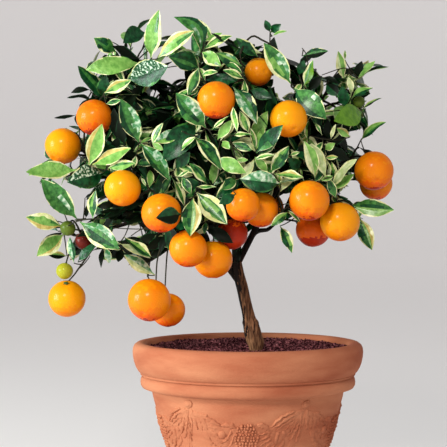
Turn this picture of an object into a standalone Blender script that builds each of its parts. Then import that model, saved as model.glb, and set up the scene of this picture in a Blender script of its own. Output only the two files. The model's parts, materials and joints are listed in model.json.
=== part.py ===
"""Small orange tree with variegated leaves, grown in a garlanded terracotta pot.

Units are metres, +Z up. The origin is the centre of the pot's flat underside.
The crown is a set of leaf masses. Each mass fills a space of its own with one
stem, twigs that branch from it by a seeded rule, leaves and oranges.
"""

import math
import random
from dataclasses import dataclass

import bmesh
import bpy
from mathutils import Matrix, Vector
from mathutils.bvhtree import BVHTree

MM = 0.001
GAP = 0.3 * MM
MERGE = 0.00001

# Pot: outer side from the lip's crest down to the foot, as radius and height
POT_STEPS = 34
POT_OUTER = (
    (107.6, 188.9), (112.4, 190.0), (117.2, 188.6), (120.0, 185.4), (120.9, 181.2), (118.2, 165.0),
    (115.2, 158.6), (110.4, 154.6), (112.4, 147.6), (111.2, 143.4), (106.0, 140.8), (100.8, 139.0),
    (99.8, 134.0), (84.5, 79.0), (67.0, 13.0), (68.6, 9.5), (68.6, 2.5), (67.0, 0.0),
)
POT_FLOOR = 12 * MM
# Inner wall from the floor up to the lip, as radius and height
POT_INNER = ((56.0, 12.0), (74.0, 75.0), (90.0, 134.0), (102.0, 165.0), (104.5, 181.7), (105.4, 186.4))
DRAIN_COUNT = 3
DRAIN_RADIUS = 6 * MM
DRAIN_RING = 30 * MM
DRAIN_SIDES = 12

GROUND = 182 * MM
SOIL_LIFT = 3 * MM
SOIL_CROWN = 60 * MM

# Trunk: centre line and thickness up from the ground, as x, y, z and diameter
TRUNK_LINE = (
    (8.6, 0.0, 182.0, 24.0), (8.5, 0.0, 186.0, 20.4), (7.6, 0.0, 193.5, 18.9), (5.6, 0.6, 200.5, 17.8),
    (3.5, 1.0, 207.0, 16.6), (1.6, 1.0, 214.0, 13.8), (-0.2, 0.8, 223.0, 12.3), (-2.6, 0.2, 233.0, 12.5),
    (-7.0, -0.6, 252.0, 12.2), (-10.0, -0.6, 265.0, 12.4), (-12.4, 0.0, 278.0, 10.4),
)
TRUNK_SIDES = 12
BOUGH_SIDES = 6
BOUGH_POINTS = 6
BOUGH_TIP_RADIUS = 1.9 * MM

TWIG_SIDES = 3
STEM_RADIUS = 1.8 * MM
TWIG_RADIUS = 1.35 * MM
TWIG_TIP_RADIUS = 0.8 * MM
STEM_POINTS = 4
TWIGS_PER_MASS = 5

LEAF_LENGTH = 61 * MM
LEAF_WIDTH = 34 * MM
LEAF_THICKNESS = 1.1 * MM
LEAF_SPREAD = 0.16
LEAVES_PER_TWIG = 5
LEAF_TRIES = 12
# Places along the stem and sags, in turn, for a twig that has a fixed end
ROOT_SHARES = (0.55, 0.75, 0.35, 0.95, 0.2)
TWIG_SAGS = (4 * MM, 12 * MM, -6 * MM, 20 * MM)
TIP_SHIFTS = (0.0, 12 * MM, -12 * MM, 24 * MM)
LEAVES_ON_STEM = 4
LEAVES_WANTED = 19
FILL_TRIES = 160
LEAF_SINK = 2.5 * MM
CLEARANCE = 0.6 * MM

FRUIT_SUBDIVISIONS = 2
FRUIT_SMALL = 10 * MM
FRUIT_SQUASH = 0.95
FRUIT_SINK = 3.5 * MM

CROWN_CENTRE = Vector((-38.0, 0.0, 385.0)) * MM
GOLDEN_ANGLE = math.radians(137.5)
UP = Vector((0.0, 0.0, 1.0))


@dataclass
class Mass:
    """A space of the crown, what hangs in it and the furthest leaf tips it has to reach."""

    name: str
    centre: tuple
    radii: tuple
    fruits: tuple = ()
    tips: tuple = ()
    seed: int = 0


@dataclass
class Bough:
    """A limb from a share of its parent's length to the edge of one mass."""

    mass: str
    parent: str
    share: float
    radius: float
    lift: float = 0.25


# Masses: centre and radii, oranges as x, y, z and radius, leaf tips, all in millimetres
MASSES = (
    Mass("left_low", (-178, -16, 302), (58, 58, 60),
         ((-186, -30, 236, 19.3), (-183, -45, 308, 7.9), (-190, -34, 266, 8.7)),
         ((-229, -20, 321), (-218, -25, 281)), 11),
    Mass("left_mid", (-170, -15, 388), (64, 62, 52), ((-189, -40, 392, 18.6),),
         ((-230, -30, 367), (-216, -5, 358), (-187, -20, 440)), 12),
    Mass("top_left", (-118, -15, 470), (66, 60, 62), ((-153, -70, 418, 18.5),),
         ((-158, -20, 510), (-93, -20, 537), (-170, -40, 474)), 13),
    Mass("top_mid", (-20, -10, 474), (62, 60, 52), ((10, -55, 465, 14.2),),
         ((23, -10, 524), (-58, -40, 508), (14, -30, 502)), 15),
    Mass("top_right", (82, -8, 452), (66, 60, 52), ((112, -45, 436, 6.1),),
         ((81, -30, 490), (100, -20, 493), (147, -15, 476), (138, -20, 442)), 16),
    Mass("right_mid", (106, -14, 382), (50, 60, 46), ((126, -50, 366, 19.9), (134, -6, 356, 17.2)),
         ((140, -20, 417),), 18),
    Mass("right_low", (86, -52, 336), (68, 58, 50),
         ((57, -105, 334, 19.9), (89, -80, 314, 19.9), (65, -43, 306, 17.7)),
         ((149, -48, 328), (122, -60, 288)), 19),
    Mass("front_left", (-114, -72, 342), (56, 58, 56), ((-123, -105, 346, 18.1), (-84, -120, 322, 19.5)),
         (), 20),
    Mass("front_top", (-62, -76, 420), (62, 54, 54), ((-32, -110, 430, 18.6),), (), 22),
    Mass("front_right", (26, -72, 396), (58, 54, 54), ((37, -100, 413, 18.4),), (), 25),
    Mass("front_low", (-34, -76, 316), (62, 54, 54),
         ((-59, -110, 288, 18.7), (-36, -78, 277, 19.5), (-7, -120, 330, 16.6),
          (12, -85, 326, 17.6), (-17, -70, 302, 15.9)), ((41, -75, 285),), 23),
    Mass("low_left", (-108, -52, 272), (48, 54, 46), ((-97, -100, 238, 21.3), (-81, -64, 227, 17.4)),
         ((-129, -60, 268),), 26),
    Mass("inner", (-66, 4, 384), (60, 54, 58), (), (), 27),
    Mass("back_left", (-132, 78, 396), (62, 62, 60), ((-160, 117, 372, 19.0),), ((-196, 82, 420),), 28),
    Mass("back_top", (-48, 78, 462), (66, 60, 56), ((-72, 120, 446, 18.5),), ((-60, 72, 520),), 29),
    Mass("back_mid", (-40, 120, 382), (60, 56, 56), ((-20, 154, 366, 19.2), (-66, 152, 350, 18.4)),
         ((-45, 177, 395),), 30),
    Mass("back_right", (58, 88, 410), (64, 60, 60), ((70, 126, 396, 19.0),), ((104, 107, 440),), 31),
    Mass("back_low_left", (-104, 78, 312), (60, 60, 50), ((-128, 104, 276, 19.5), (-92, 120, 298, 18.0)),
         (), 32),
    Mass("back_low_right", (42, 86, 326), (62, 60, 50), ((66, 116, 308, 19.6), (28, 110, 288, 18.2)),
         ((112, 82, 340),), 33),
)

# Boughs in the order they branch, thickest first
BOUGHS = (
    Bough("top_mid", "trunk", 1.0, 4.3, 0.6),
    Bough("left_mid", "trunk", 0.80, 4.0, 0.1),
    Bough("top_right", "trunk", 0.88, 3.7, 0.5),
    Bough("front_top", "top_mid", 0.16, 3.1),
    Bough("back_mid", "top_mid", 0.20, 3.2),
    Bough("front_left", "left_mid", 0.30, 2.9),
    Bough("left_low", "left_mid", 0.60, 2.7, 0.0),
    Bough("top_left", "left_mid", 0.42, 3.0, 0.4),
    Bough("back_low_left", "left_mid", 0.22, 2.9),
    Bough("low_left", "front_left", 0.35, 2.5, 0.0),
    Bough("right_low", "top_right", 0.24, 2.9, 0.1),
    Bough("right_mid", "top_right", 0.52, 2.7, 0.1),
    Bough("front_right", "top_right", 0.36, 2.8),
    Bough("back_low_right", "top_right", 0.16, 2.9),
    Bough("front_low", "front_top", 0.25, 2.6, 0.0),
    Bough("inner", "top_mid", 0.40, 2.6),
    Bough("back_top", "top_mid", 0.60, 2.9),
    Bough("back_left", "back_mid", 0.38, 2.9),
    Bough("back_right", "back_mid", 0.30, 2.9),
)

COLOURS = {
    "terracotta": ((0.60, 0.23, 0.11), 0.85),
    "soil": ((0.045, 0.022, 0.018), 0.95),
    "bark": ((0.20, 0.12, 0.06), 0.85),
    "leaf": ((0.05, 0.17, 0.03), 0.40),
    "orange": ((0.90, 0.32, 0.02), 0.35),
}


def clear_scene():
    """Remove every object the file opened with."""
    for stale in list(bpy.data.objects):
        bpy.data.objects.remove(stale, do_unlink=True)


def new_collection(name):
    """Make a collection under the scene and return it."""
    group = bpy.data.collections.new(name)
    bpy.context.scene.collection.children.link(group)
    return group


def make_material(name):
    """Make the plain Principled material of a named colour."""
    colour, roughness = COLOURS[name]
    material = bpy.data.materials.new(name)
    material.use_nodes = True
    shader = material.node_tree.nodes["Principled BSDF"]
    shader.inputs["Base Color"].default_value = (*colour, 1.0)
    shader.inputs["Roughness"].default_value = roughness
    shader.inputs["Metallic"].default_value = 0.0
    return material


def add_object(name, data, group, material=None):
    """Link a new object that carries the given mesh or curve."""
    made = bpy.data.objects.new(name, data)
    group.objects.link(made)
    if material is not None:
        data.materials.append(material)
    return made


def shade_smooth(mesh, angle=40):
    """Shade a mesh smooth, with its sharper edges kept."""
    mesh.shade_smooth()
    mesh.set_sharp_from_angle(angle=math.radians(angle))


def as_mesh(source, name):
    """Return the evaluated mesh of an object with the caps of a curve welded on."""
    bpy.context.view_layer.update()
    graph = bpy.context.evaluated_depsgraph_get()
    mesh = bpy.data.meshes.new_from_object(source.evaluated_get(graph))
    mesh.name = name
    bm = bmesh.new()
    bm.from_mesh(mesh)
    bmesh.ops.remove_doubles(bm, verts=bm.verts, dist=MERGE)
    bm.to_mesh(mesh)
    bm.free()
    return mesh


def turned(name, profile, group, material=None):
    """Turn a profile of radius and height around the vertical axis with a Screw modifier."""
    mesh = bpy.data.meshes.new(name)
    bm = bmesh.new()
    corners = [bm.verts.new((radius, 0.0, height)) for radius, height in profile]
    for first, second in zip(corners, corners[1:]):
        bm.edges.new((first, second))
    bm.to_mesh(mesh)
    bm.free()
    made = add_object(name, mesh, group, material)
    screw = made.modifiers.new("turn", "SCREW")
    screw.axis = "Z"
    screw.angle = math.tau
    screw.steps = POT_STEPS
    screw.render_steps = POT_STEPS
    screw.use_merge_vertices = True
    screw.merge_threshold = MERGE
    screw.use_smooth_shade = True
    return made


def inner_radius(height):
    """Return the pot's inner radius at a height between its floor and its lip."""
    for (low_r, low_z), (high_r, high_z) in zip(POT_INNER, POT_INNER[1:]):
        if low_z * MM <= height <= high_z * MM:
            share = (height / MM - low_z) / (high_z - low_z)
            return (low_r + (high_r - low_r) * share) * MM
    return POT_INNER[-1][0] * MM


def build_pot(group, cutters, material):
    """Turn the pot from its floor up the inner wall and down the outer side, then drill it."""
    profile = [(radius * MM, height * MM) for radius, height in POT_INNER + POT_OUTER]
    pot = turned("pot", [(0.0, POT_FLOOR), *profile, (0.0, 0.0)], group, material)
    for index in range(DRAIN_COUNT):
        angle = math.tau * (index + 0.25) / DRAIN_COUNT
        drill = bpy.data.meshes.new("drain_cutter")
        bm = bmesh.new()
        bmesh.ops.create_cone(bm, cap_ends=True, segments=DRAIN_SIDES, radius1=DRAIN_RADIUS,
                              radius2=DRAIN_RADIUS, depth=POT_FLOOR * 3)
        bm.to_mesh(drill)
        bm.free()
        cutter = add_object(f"drain_cutter_{index + 1}", drill, cutters)
        cutter.location = (DRAIN_RING * math.cos(angle), DRAIN_RING * math.sin(angle), POT_FLOOR / 2)
        add_cut(pot, cutter)
    return pot


def build_soil(group, material):
    """Turn the soil that fills the pot up to ground level."""
    edge = GROUND - SOIL_LIFT
    profile = [(0.0, GROUND - GAP), (SOIL_CROWN, GROUND - GAP), (inner_radius(edge) - GAP * 2, edge)]
    for radius, height in reversed(POT_INNER[:-2]):
        profile.append((radius * MM - GAP * 2, max(height * MM, POT_FLOOR + GAP)))
    profile.append((0.0, POT_FLOOR + GAP))
    return turned("soil", profile, group, material)


def add_cut(target, cutter):
    """Cut one object from another, and mark the cutter as a helper."""
    cut = target.modifiers.new("cut", "BOOLEAN")
    cut.operation = "DIFFERENCE"
    cut.solver = "EXACT"
    cut.object = cutter
    cutter.hide_render = True
    cutter.display_type = "WIRE"


def limb_curve(name, points, radii, sides, group):
    """Make a tapering limb as a curve with a round bevel and closed ends."""
    curve = bpy.data.curves.new(name, "CURVE")
    curve.dimensions = "3D"
    curve.bevel_depth = 1.0
    curve.bevel_resolution = sides // 2 - 2
    curve.use_fill_caps = True
    spline = curve.splines.new("POLY")
    spline.points.add(len(points) - 1)
    for knot, point, radius in zip(spline.points, points, radii):
        knot.co = (*point, 1.0)
        knot.radius = radius
    return add_object(name, curve, group)


def limb_mesh(name, points, radii, sides, group, material=None):
    """Turn a limb's curve into a mesh object of the same name."""
    guide = limb_curve(name + "_line", points, radii, sides, group)
    mesh = as_mesh(guide, name)
    bpy.data.objects.remove(guide, do_unlink=True)
    mesh.materials.clear()
    limb = add_object(name, mesh, group, material)
    shade_smooth(mesh)
    return limb


@dataclass
class Limb:
    """A limb's object, with its centre line and radii for what grows from it."""

    name: str
    points: list
    radii: list
    shape: bpy.types.Object
    cutter: bpy.types.Object = None

    def at(self, share):
        """Return the point, direction and radius at a share of the limb's length."""
        place = share * (len(self.points) - 1)
        index = min(int(place), len(self.points) - 2)
        blend = place - index
        point = self.points[index].lerp(self.points[index + 1], blend)
        heading = (self.points[index + 1] - self.points[index]).normalized()
        radius = self.radii[index] + (self.radii[index + 1] - self.radii[index]) * blend
        return point, heading, radius


def bezier(start, pull_start, pull_end, end, count):
    """Return points along a cubic curve."""
    points = []
    for index in range(count):
        t = index / (count - 1)
        points.append(start * (1 - t) ** 3 + pull_start * 3 * t * (1 - t) ** 2
                      + pull_end * 3 * t * t * (1 - t) + end * t ** 3)
    return points


def build_trunk(group, cutters, material):
    """Build the leaning trunk from its flat foot to the fork."""
    points = [Vector((x, y, z)) * MM for x, y, z, _ in TRUNK_LINE]
    points[1].x = points[0].x
    radii = [diameter / 2 * MM for *_, diameter in TRUNK_LINE]
    shape = limb_mesh("trunk", points, radii, TRUNK_SIDES, group, material)
    wide = [radius + GAP for radius in radii]
    longer = points[:-1] + [points[-1] + UP * GAP]
    cutter = limb_mesh("trunk_cutter", longer, wide, TRUNK_SIDES, cutters)
    return Limb("trunk", points, radii, shape, cutter)


def mass_radius(mass, direction):
    """Return how far a mass's space reaches from its centre in a direction."""
    return 1.0 / math.sqrt(sum((direction[axis] / (mass.radii[axis] * MM)) ** 2 for axis in range(3)))


def bough_line(bough, mass, parent):
    """Return the points of a bough's centre line, from its parent to the edge of its mass."""
    root, heading, _ = parent.at(bough.share)
    centre = Vector(mass.centre) * MM
    toward = (centre - root).normalized()
    arrive = (toward * 0.8 + UP * bough.lift * 0.4).normalized()
    end = centre - arrive * mass_radius(mass, arrive) * 0.72
    span = (end - root).length
    leave = (heading * 0.55 + toward * 0.6 + UP * bough.lift).normalized()
    return bezier(root, root + leave * span * 0.36, end - arrive * span * 0.3, end, BOUGH_POINTS)


def build_boughs(trunk, masses, group, cutters, material):
    """Build each bough and cut it clear of the limbs that it meets."""
    limbs = {"trunk": trunk}
    for bough in BOUGHS:
        parent = limbs[bough.parent]
        points = bough_line(bough, masses[bough.mass], parent)
        root_radius = min(bough.radius * MM, parent.at(bough.share)[2] * 0.92)
        radii = [root_radius + (BOUGH_TIP_RADIUS - root_radius) * index / (BOUGH_POINTS - 1)
                 for index in range(BOUGH_POINTS)]
        name = "bough_" + bough.mass
        shape = limb_mesh(name, points, radii, BOUGH_SIDES, group, material)
        for limb in limbs.values():
            if trees_touch(shape_tree(shape.data), shape_tree(limb.cutter.data)):
                add_cut(shape, limb.cutter)
        cutter = limb_mesh(name + "_cutter", points, [radius + GAP for radius in radii],
                           BOUGH_SIDES, cutters)
        cutter.hide_render = True
        cutter.display_type = "WIRE"
        limbs[bough.mass] = Limb(name, points, radii, shape, cutter)
    return limbs


def shape_tree(mesh):
    """Return a search tree over a mesh's faces."""
    corners = [vertex.co.copy() for vertex in mesh.vertices]
    return BVHTree.FromPolygons(corners, [tuple(face.vertices) for face in mesh.polygons])


def trees_touch(first, second):
    """Say whether two search trees have faces that cross."""
    return bool(first.overlap(second))


class Crowd:
    """Everything already placed in the crown, for touch tests."""

    def __init__(self):
        self.items = []

    def add(self, mesh, owner):
        """Remember a placed mesh under its owner's name."""
        low, high = bounds(mesh)
        self.items.append((low, high, shape_tree(mesh), owner))

    def touched(self, mesh, skip=()):
        """Say whether a mesh touches anything but the owners to skip."""
        low, high = bounds(mesh)
        tree = None
        for item_low, item_high, item_tree, owner in self.items:
            if owner in skip:
                continue
            if any(low[a] > item_high[a] or high[a] < item_low[a] for a in range(3)):
                continue
            tree = tree or shape_tree(mesh)
            if trees_touch(tree, item_tree):
                return True
        return False


def bounds(mesh):
    """Return the lowest and highest corner of a mesh."""
    corners = [vertex.co for vertex in mesh.vertices]
    low = Vector([min(corner[axis] for corner in corners) for axis in range(3)])
    high = Vector([max(corner[axis] for corner in corners) for axis in range(3)])
    return low, high


def twig_mesh(points, radii, margin=0.0):
    """Draw a slim tapering twig by extruding a small polygon from point to point."""
    bm = bmesh.new()
    bmesh.ops.create_circle(bm, cap_ends=True, segments=TWIG_SIDES, radius=1.0)
    headings = [(second - first).normalized() for first, second in zip(points, points[1:])]
    tangents = [headings[0]]
    tangents += [(a + b).normalized() for a, b in zip(headings, headings[1:])]
    tangents.append(headings[-1])
    turn = tangents[0].to_track_quat("Z", "Y")
    frames = []
    for index, (point, radius) in enumerate(zip(points, radii)):
        if index:
            turn = tangents[index - 1].rotation_difference(tangents[index]) @ turn
        size = Matrix.Scale(radius + margin, 4)
        frames.append(Matrix.Translation(point) @ turn.to_matrix().to_4x4() @ size)
    ring = list(bm.verts)
    bmesh.ops.transform(bm, matrix=frames[0], verts=ring)
    face = bm.faces[:][0]
    inner_caps = []
    for before, after in zip(frames, frames[1:]):
        grown = bmesh.ops.extrude_face_region(bm, geom=[face])["geom"]
        face = next(part for part in grown if isinstance(part, bmesh.types.BMFace))
        bmesh.ops.transform(bm, matrix=after @ before.inverted(), verts=list(face.verts))
        inner_caps.append(face)
    bmesh.ops.delete(bm, geom=inner_caps[:-1], context="FACES_ONLY")
    return finish_mesh(bm, "twig")


def leaf_mesh(base, along, facing, length, width, margin=0.0):
    """Shape an eight-sided blade: a point in the twig, two sides, a tip and a ridge."""
    across = facing.cross(along).normalized()
    above = along.cross(across).normalized()
    bm = bmesh.new()
    bmesh.ops.create_uvsphere(bm, u_segments=4, v_segments=2, radius=1.0)
    half = LEAF_THICKNESS / 2 + margin
    for vertex in bm.verts:
        x, y, z = vertex.co
        if abs(z) > 0.5:
            vertex.co = base + along * length * 0.3 + above * (half * z - 0.02 * length)
        elif abs(x) > 0.5:
            reach = length + margin if x > 0 else 0.0
            vertex.co = base + along * reach - above * (0.10 * length if x > 0 else 0.0)
        else:
            vertex.co = base + along * length * 0.46 + across * y * (width / 2 + margin)
    return finish_mesh(bm, "leaf")


def fruit_mesh(centre, radius, margin=0.0):
    """Make a slightly flattened orange."""
    bm = bmesh.new()
    rounds = FRUIT_SUBDIVISIONS if radius > FRUIT_SMALL else 1
    bmesh.ops.create_icosphere(bm, subdivisions=rounds, radius=radius + margin)
    squash = Matrix.Diagonal((1.0, 1.0, FRUIT_SQUASH, 1.0))
    bmesh.ops.transform(bm, matrix=Matrix.Translation(centre) @ squash, verts=bm.verts)
    return finish_mesh(bm, "orange")


def finish_mesh(bm, name):
    """Write a closed bmesh out as a new mesh, its faces turned outward, and free it."""
    bmesh.ops.recalc_face_normals(bm, faces=bm.faces)
    if bm.calc_volume(signed=True) < 0:
        bmesh.ops.reverse_faces(bm, faces=bm.faces)
    mesh = bpy.data.meshes.new(name)
    bm.to_mesh(mesh)
    bm.free()
    return mesh


class Grower:
    """Fills one mass's space with its stem, twigs, oranges and leaves."""

    def __init__(self, mass, limb, crowd, masses):
        self.mass = mass
        self.limb = limb
        self.crowd = crowd
        self.masses = masses
        self.centre = Vector(mass.centre) * MM
        self.dice = random.Random(mass.seed)
        self.twigs = []
        self.pieces = []
        self.oranges = [(Vector(fruit[:3]) * MM, fruit[3] * MM) for fruit in mass.fruits]

    def owns(self, point):
        """Say whether a point lies in this mass's space rather than a neighbour's."""
        mine = self.share_of(self.mass, point)
        return all(self.share_of(other, point) > mine for other in self.masses.values()
                   if other is not self.mass)

    @staticmethod
    def share_of(mass, point):
        """Return a point's distance from a mass, weighted by the mass's size."""
        radius = sum(mass.radii) / 3 * MM
        return (point - Vector(mass.centre) * MM).length_squared - radius * radius

    def inside(self, point):
        """Say whether a point lies within the mass's own ellipsoid."""
        away = point - self.centre
        return sum((away[axis] / (self.mass.radii[axis] * MM)) ** 2 for axis in range(3)) < 1.25

    def leaf_count(self):
        """Return how many leaves the mass has so far."""
        return sum(kind == "leaf" for _, kind, _ in self.pieces)

    def keep(self, mesh, kind):
        """Add a placed piece to the mass and to the crowd."""
        owner = f"{self.mass.name}_{len(self.pieces)}"
        self.pieces.append((mesh, kind, owner))
        self.crowd.add(mesh, owner)
        return owner

    def hang_oranges(self):
        """Place the mass's oranges first, so that twigs and leaves keep off them."""
        self.orange_owners = [self.keep(fruit_mesh(centre, radius), "orange")
                              for centre, radius in self.oranges]

    def draw_stem(self):
        """Run the stem on from the bough's tip, through the middle of the mass."""
        tip, heading, _ = self.limb.at(1.0)
        start = tip + heading * GAP
        toward = (self.centre - start).normalized()
        end = self.centre + toward * mass_radius(self.mass, toward) * 0.35
        span = (end - start).length
        points = bezier(start, start + heading * span * 0.3, end - toward * span * 0.3, end, STEM_POINTS)
        points[1] = start + heading * (points[1] - start).length
        radii = [STEM_RADIUS + (TWIG_RADIUS - STEM_RADIUS) * index / (STEM_POINTS - 1)
                 for index in range(STEM_POINTS)]
        owner = self.keep(twig_mesh(points, radii), "twig")
        self.twigs.append((points, owner))

    def stem_point(self, share):
        """Return the point at a share of the stem's length."""
        points = self.twigs[0][0]
        place = share * (len(points) - 1)
        index = min(int(place), len(points) - 2)
        return points[index].lerp(points[index + 1], place - index)

    def try_twig(self, start, end, sag, skip=()):
        """Draw a twig from the stem to a point, unless it would touch something."""
        middle = start.lerp(end, 0.5) + UP * sag
        points = [start, middle, end]
        radii = [TWIG_RADIUS, (TWIG_RADIUS + TWIG_TIP_RADIUS) / 2, TWIG_TIP_RADIUS]
        guard = twig_mesh(points, radii, CLEARANCE)
        blocked = self.crowd.touched(guard, skip)
        bpy.data.meshes.remove(guard)
        if blocked:
            return False
        owner = self.keep(twig_mesh(points, radii), "twig")
        self.twigs.append((points, owner))
        return True

    def twig_to(self, end, skip=()):
        """Draw a twig to a fixed end from the first free place along the stem."""
        stem_owner = self.twigs[0][1]
        for share in ROOT_SHARES:
            for sag in TWIG_SAGS:
                if self.try_twig(self.stem_point(share), end, sag, (stem_owner, *skip)):
                    return True
        return False

    def hang_on_twigs(self):
        """Draw a twig down to the top of each orange, and return how many were missed."""
        missed = 0
        for (centre, radius), owner in zip(self.oranges, self.orange_owners):
            start = self.stem_point(0.6)
            lean = (start - centre).normalized()
            crown = (UP * 1.2 + lean).normalized()
            end = centre + crown * (radius * FRUIT_SQUASH - FRUIT_SINK)
            missed += not self.twig_to(end, (owner,))
        return missed

    def spread_twigs(self):
        """Branch side twigs from the stem around the golden angle."""
        points, stem_owner = self.twigs[0]
        axis = (points[-1] - points[0]).normalized()
        side = axis.orthogonal().normalized()
        phase = self.dice.uniform(0.0, math.tau)
        for index in range(TWIGS_PER_MASS):
            share = 0.3 + 0.65 * index / (TWIGS_PER_MASS - 1)
            start = self.stem_point(share)
            turn = Matrix.Rotation(phase + index * GOLDEN_ANGLE, 3, axis)
            lean = math.radians(72 - 34 * share + self.dice.uniform(-8, 8))
            heading = axis * math.cos(lean) + (turn @ side) * math.sin(lean)
            reach = mass_radius(self.mass, heading) * self.dice.uniform(0.7, 0.9)
            self.try_twig(start, start + heading * reach, 3 * MM, (stem_owner,))

    def try_leaf(self, base, along, owner, scale=1.0, free=False):
        """Fuse a leaf on, unless it would leave the space or touch another piece."""
        if self.leaf_count() >= LEAVES_WANTED:
            return False
        length = LEAF_LENGTH * scale
        width = LEAF_WIDTH * scale
        outward = (base - CROWN_CENTRE).normalized()
        tilt = Vector([self.dice.uniform(-0.45, 0.45) for _ in range(3)])
        facing = outward * 0.8 + UP * 0.6 + tilt
        facing = facing - along * facing.dot(along)
        if facing.length < 0.2:
            facing = along.orthogonal()
        facing.normalize()
        tip = base + along * length
        middle = base + along * length * 0.5
        if not (self.owns(tip) and self.owns(middle)):
            return False
        if not free and not self.inside(tip):
            return False
        guard = leaf_mesh(base, along, facing, length, width, CLEARANCE)
        blocked = self.crowd.touched(guard, (owner,))
        bpy.data.meshes.remove(guard)
        if blocked:
            return False
        self.keep(leaf_mesh(base, along, facing, length, width), "leaf")
        return True

    def reach_tips(self):
        """Grow a twig and a leaf out to each of the mass's furthest tips."""
        for tip in self.mass.tips:
            any(self.reach_tip(Vector(tip) * MM + Vector((0.0, shift, 0.0))) for shift in TIP_SHIFTS)

    def reach_tip(self, tip):
        """Grow one twig that ends in a leaf whose tip is at the given point."""
        start = self.stem_point(0.7)
        along = (tip - start).normalized()
        length = min(LEAF_LENGTH, (tip - start).length * 0.8)
        base = tip - along * length
        seat = base - along * LEAF_SINK
        if not self.twig_to(base):
            return False
        owner = self.twigs[-1][1]
        return self.try_leaf(seat, (tip - seat).normalized(), owner, (tip - seat).length / LEAF_LENGTH, True)

    def fill_gaps(self):
        """Try further leaves at random places until the mass has its share of them."""
        for _ in range(FILL_TRIES):
            if self.leaf_count() >= LEAVES_WANTED:
                return
            points, owner = self.dice.choice(self.twigs)
            place = self.dice.uniform(0.2, 0.98) * (len(points) - 1)
            low = min(int(place), len(points) - 2)
            base = points[low].lerp(points[low + 1], place - low)
            axis = (points[low + 1] - points[low]).normalized()
            turn = Matrix.Rotation(self.dice.uniform(0.0, math.tau), 3, axis)
            lean = self.dice.uniform(0.3, 0.9)
            along = (axis * lean + (turn @ axis.orthogonal().normalized())).normalized()
            self.try_leaf(base, along, owner, self.dice.uniform(0.75, 1.05))

    def dress_twigs(self):
        """Set leaves along every twig around the golden angle, and one at its end."""
        for number, (points, owner) in enumerate(self.twigs):
            count = LEAVES_ON_STEM if number == 0 else LEAVES_PER_TWIG
            phase = self.dice.uniform(0.0, math.tau)
            for index in range(count):
                share = 0.40 + 0.52 * index / (count - 1)
                place = share * (len(points) - 1)
                low = min(int(place), len(points) - 2)
                base = points[low].lerp(points[low + 1], place - low)
                axis = (points[low + 1] - points[low]).normalized()
                self.leaf_around(base, axis, phase + index * GOLDEN_ANGLE, owner)
            tip = points[-1]
            axis = (points[-1] - points[-2]).normalized()
            self.try_leaf(tip - axis * LEAF_SINK, axis, owner, self.leaf_scale())

    def leaf_scale(self):
        """Return the next leaf's size against the common one."""
        return self.dice.uniform(1.0 - LEAF_SPREAD, 1.0 + LEAF_SPREAD)

    def leaf_around(self, base, axis, angle, owner):
        """Try one leaf at a place on a twig, turned on a little where it is blocked."""
        side = axis.orthogonal().normalized()
        outward = (base - CROWN_CENTRE).normalized()
        scale = self.leaf_scale()
        for attempt in range(LEAF_TRIES):
            turn = Matrix.Rotation(angle + attempt * 0.7, 3, axis)
            along = axis * 0.55 + (turn @ side) * 0.8 + outward * 0.3
            along.normalize()
            if along.dot(axis) > 0.86:
                continue
            if self.try_leaf(base, along, owner, scale * (1.0 - 0.04 * attempt)):
                return


def fuse_mass(grower, group, leaf_material, orange_material, bark_material):
    """Join a mass's pieces into one solid with a single union on a collection."""
    materials = {"leaf": leaf_material, "orange": orange_material, "twig": bark_material}
    extras = new_collection("pieces_" + grower.mass.name)
    stem = next(piece for piece in grower.pieces if piece[1] == "twig")
    for mesh, kind, owner in grower.pieces:
        if mesh is stem[0]:
            continue
        add_object(owner, mesh, extras, materials[kind])
    node = add_object("foliage_" + grower.mass.name, stem[0], group, bark_material)
    union = node.modifiers.new("join", "BOOLEAN")
    union.operation = "UNION"
    union.operand_type = "COLLECTION"
    union.collection = extras
    union.solver = "MANIFOLD"
    bpy.context.view_layer.update()
    graph = bpy.context.evaluated_depsgraph_get()
    joined = bpy.data.meshes.new_from_object(node.evaluated_get(graph))
    node.modifiers.clear()
    joined.name = node.name
    node.data = joined
    for extra in list(extras.objects):
        bpy.data.objects.remove(extra, do_unlink=True)
    bpy.data.collections.remove(extras)
    return node


def grow_crown(limbs, group, materials):
    """Grow every mass: all the oranges first, then stems, twigs and leaves."""
    masses = {mass.name: mass for mass in MASSES}
    crowd = Crowd()
    for limb in limbs.values():
        crowd.add(limb.shape.data, limb.name)
    growers = [Grower(mass, limbs[mass.name], crowd, masses) for mass in MASSES]
    for grower in growers:
        grower.hang_oranges()
    for grower in growers:
        grower.draw_stem()
    for grower in growers:
        if grower.hang_on_twigs():
            raise RuntimeError("an orange hangs free in " + grower.mass.name)
        grower.reach_tips()
    for grower in growers:
        grower.spread_twigs()
    for grower in growers:
        grower.dress_twigs()
    for grower in growers:
        grower.fill_gaps()
        fuse_mass(grower, group, materials["leaf"], materials["orange"], materials["bark"])


def main():
    """Build the whole plant."""
    clear_scene()
    group = new_collection("potted_orange_tree")
    cutters = new_collection("cutters")
    materials = {name: make_material(name) for name in COLOURS}
    build_pot(group, cutters, materials["terracotta"])
    build_soil(group, materials["soil"])
    trunk = build_trunk(group, cutters, materials["bark"])
    masses = {mass.name: mass for mass in MASSES}
    limbs = build_boughs(trunk, masses, group, cutters, materials["bark"])
    for cutter in cutters.objects:
        cutter.hide_render = True
        cutter.display_type = "WIRE"
    grow_crown(limbs, group, materials)


main()
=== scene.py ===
"""Looks of the potted orange tree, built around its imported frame.

Everything is in metres in the frame of the CAD part: the origin is the centre of
the pot's flat underside and +Z is up. The crown grows by the rule of the part's
source, carried on to finer twigs and full leaves. The leaves that face the
photograph's view are set out one by one, in its pixels, and twigs carry them.
"""

from __future__ import annotations

import json
import logging
import math
import random
from dataclasses import dataclass, field
from enum import Enum

import bmesh
import bpy
import numpy as np
from mathutils import Matrix, Vector, noise

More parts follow.
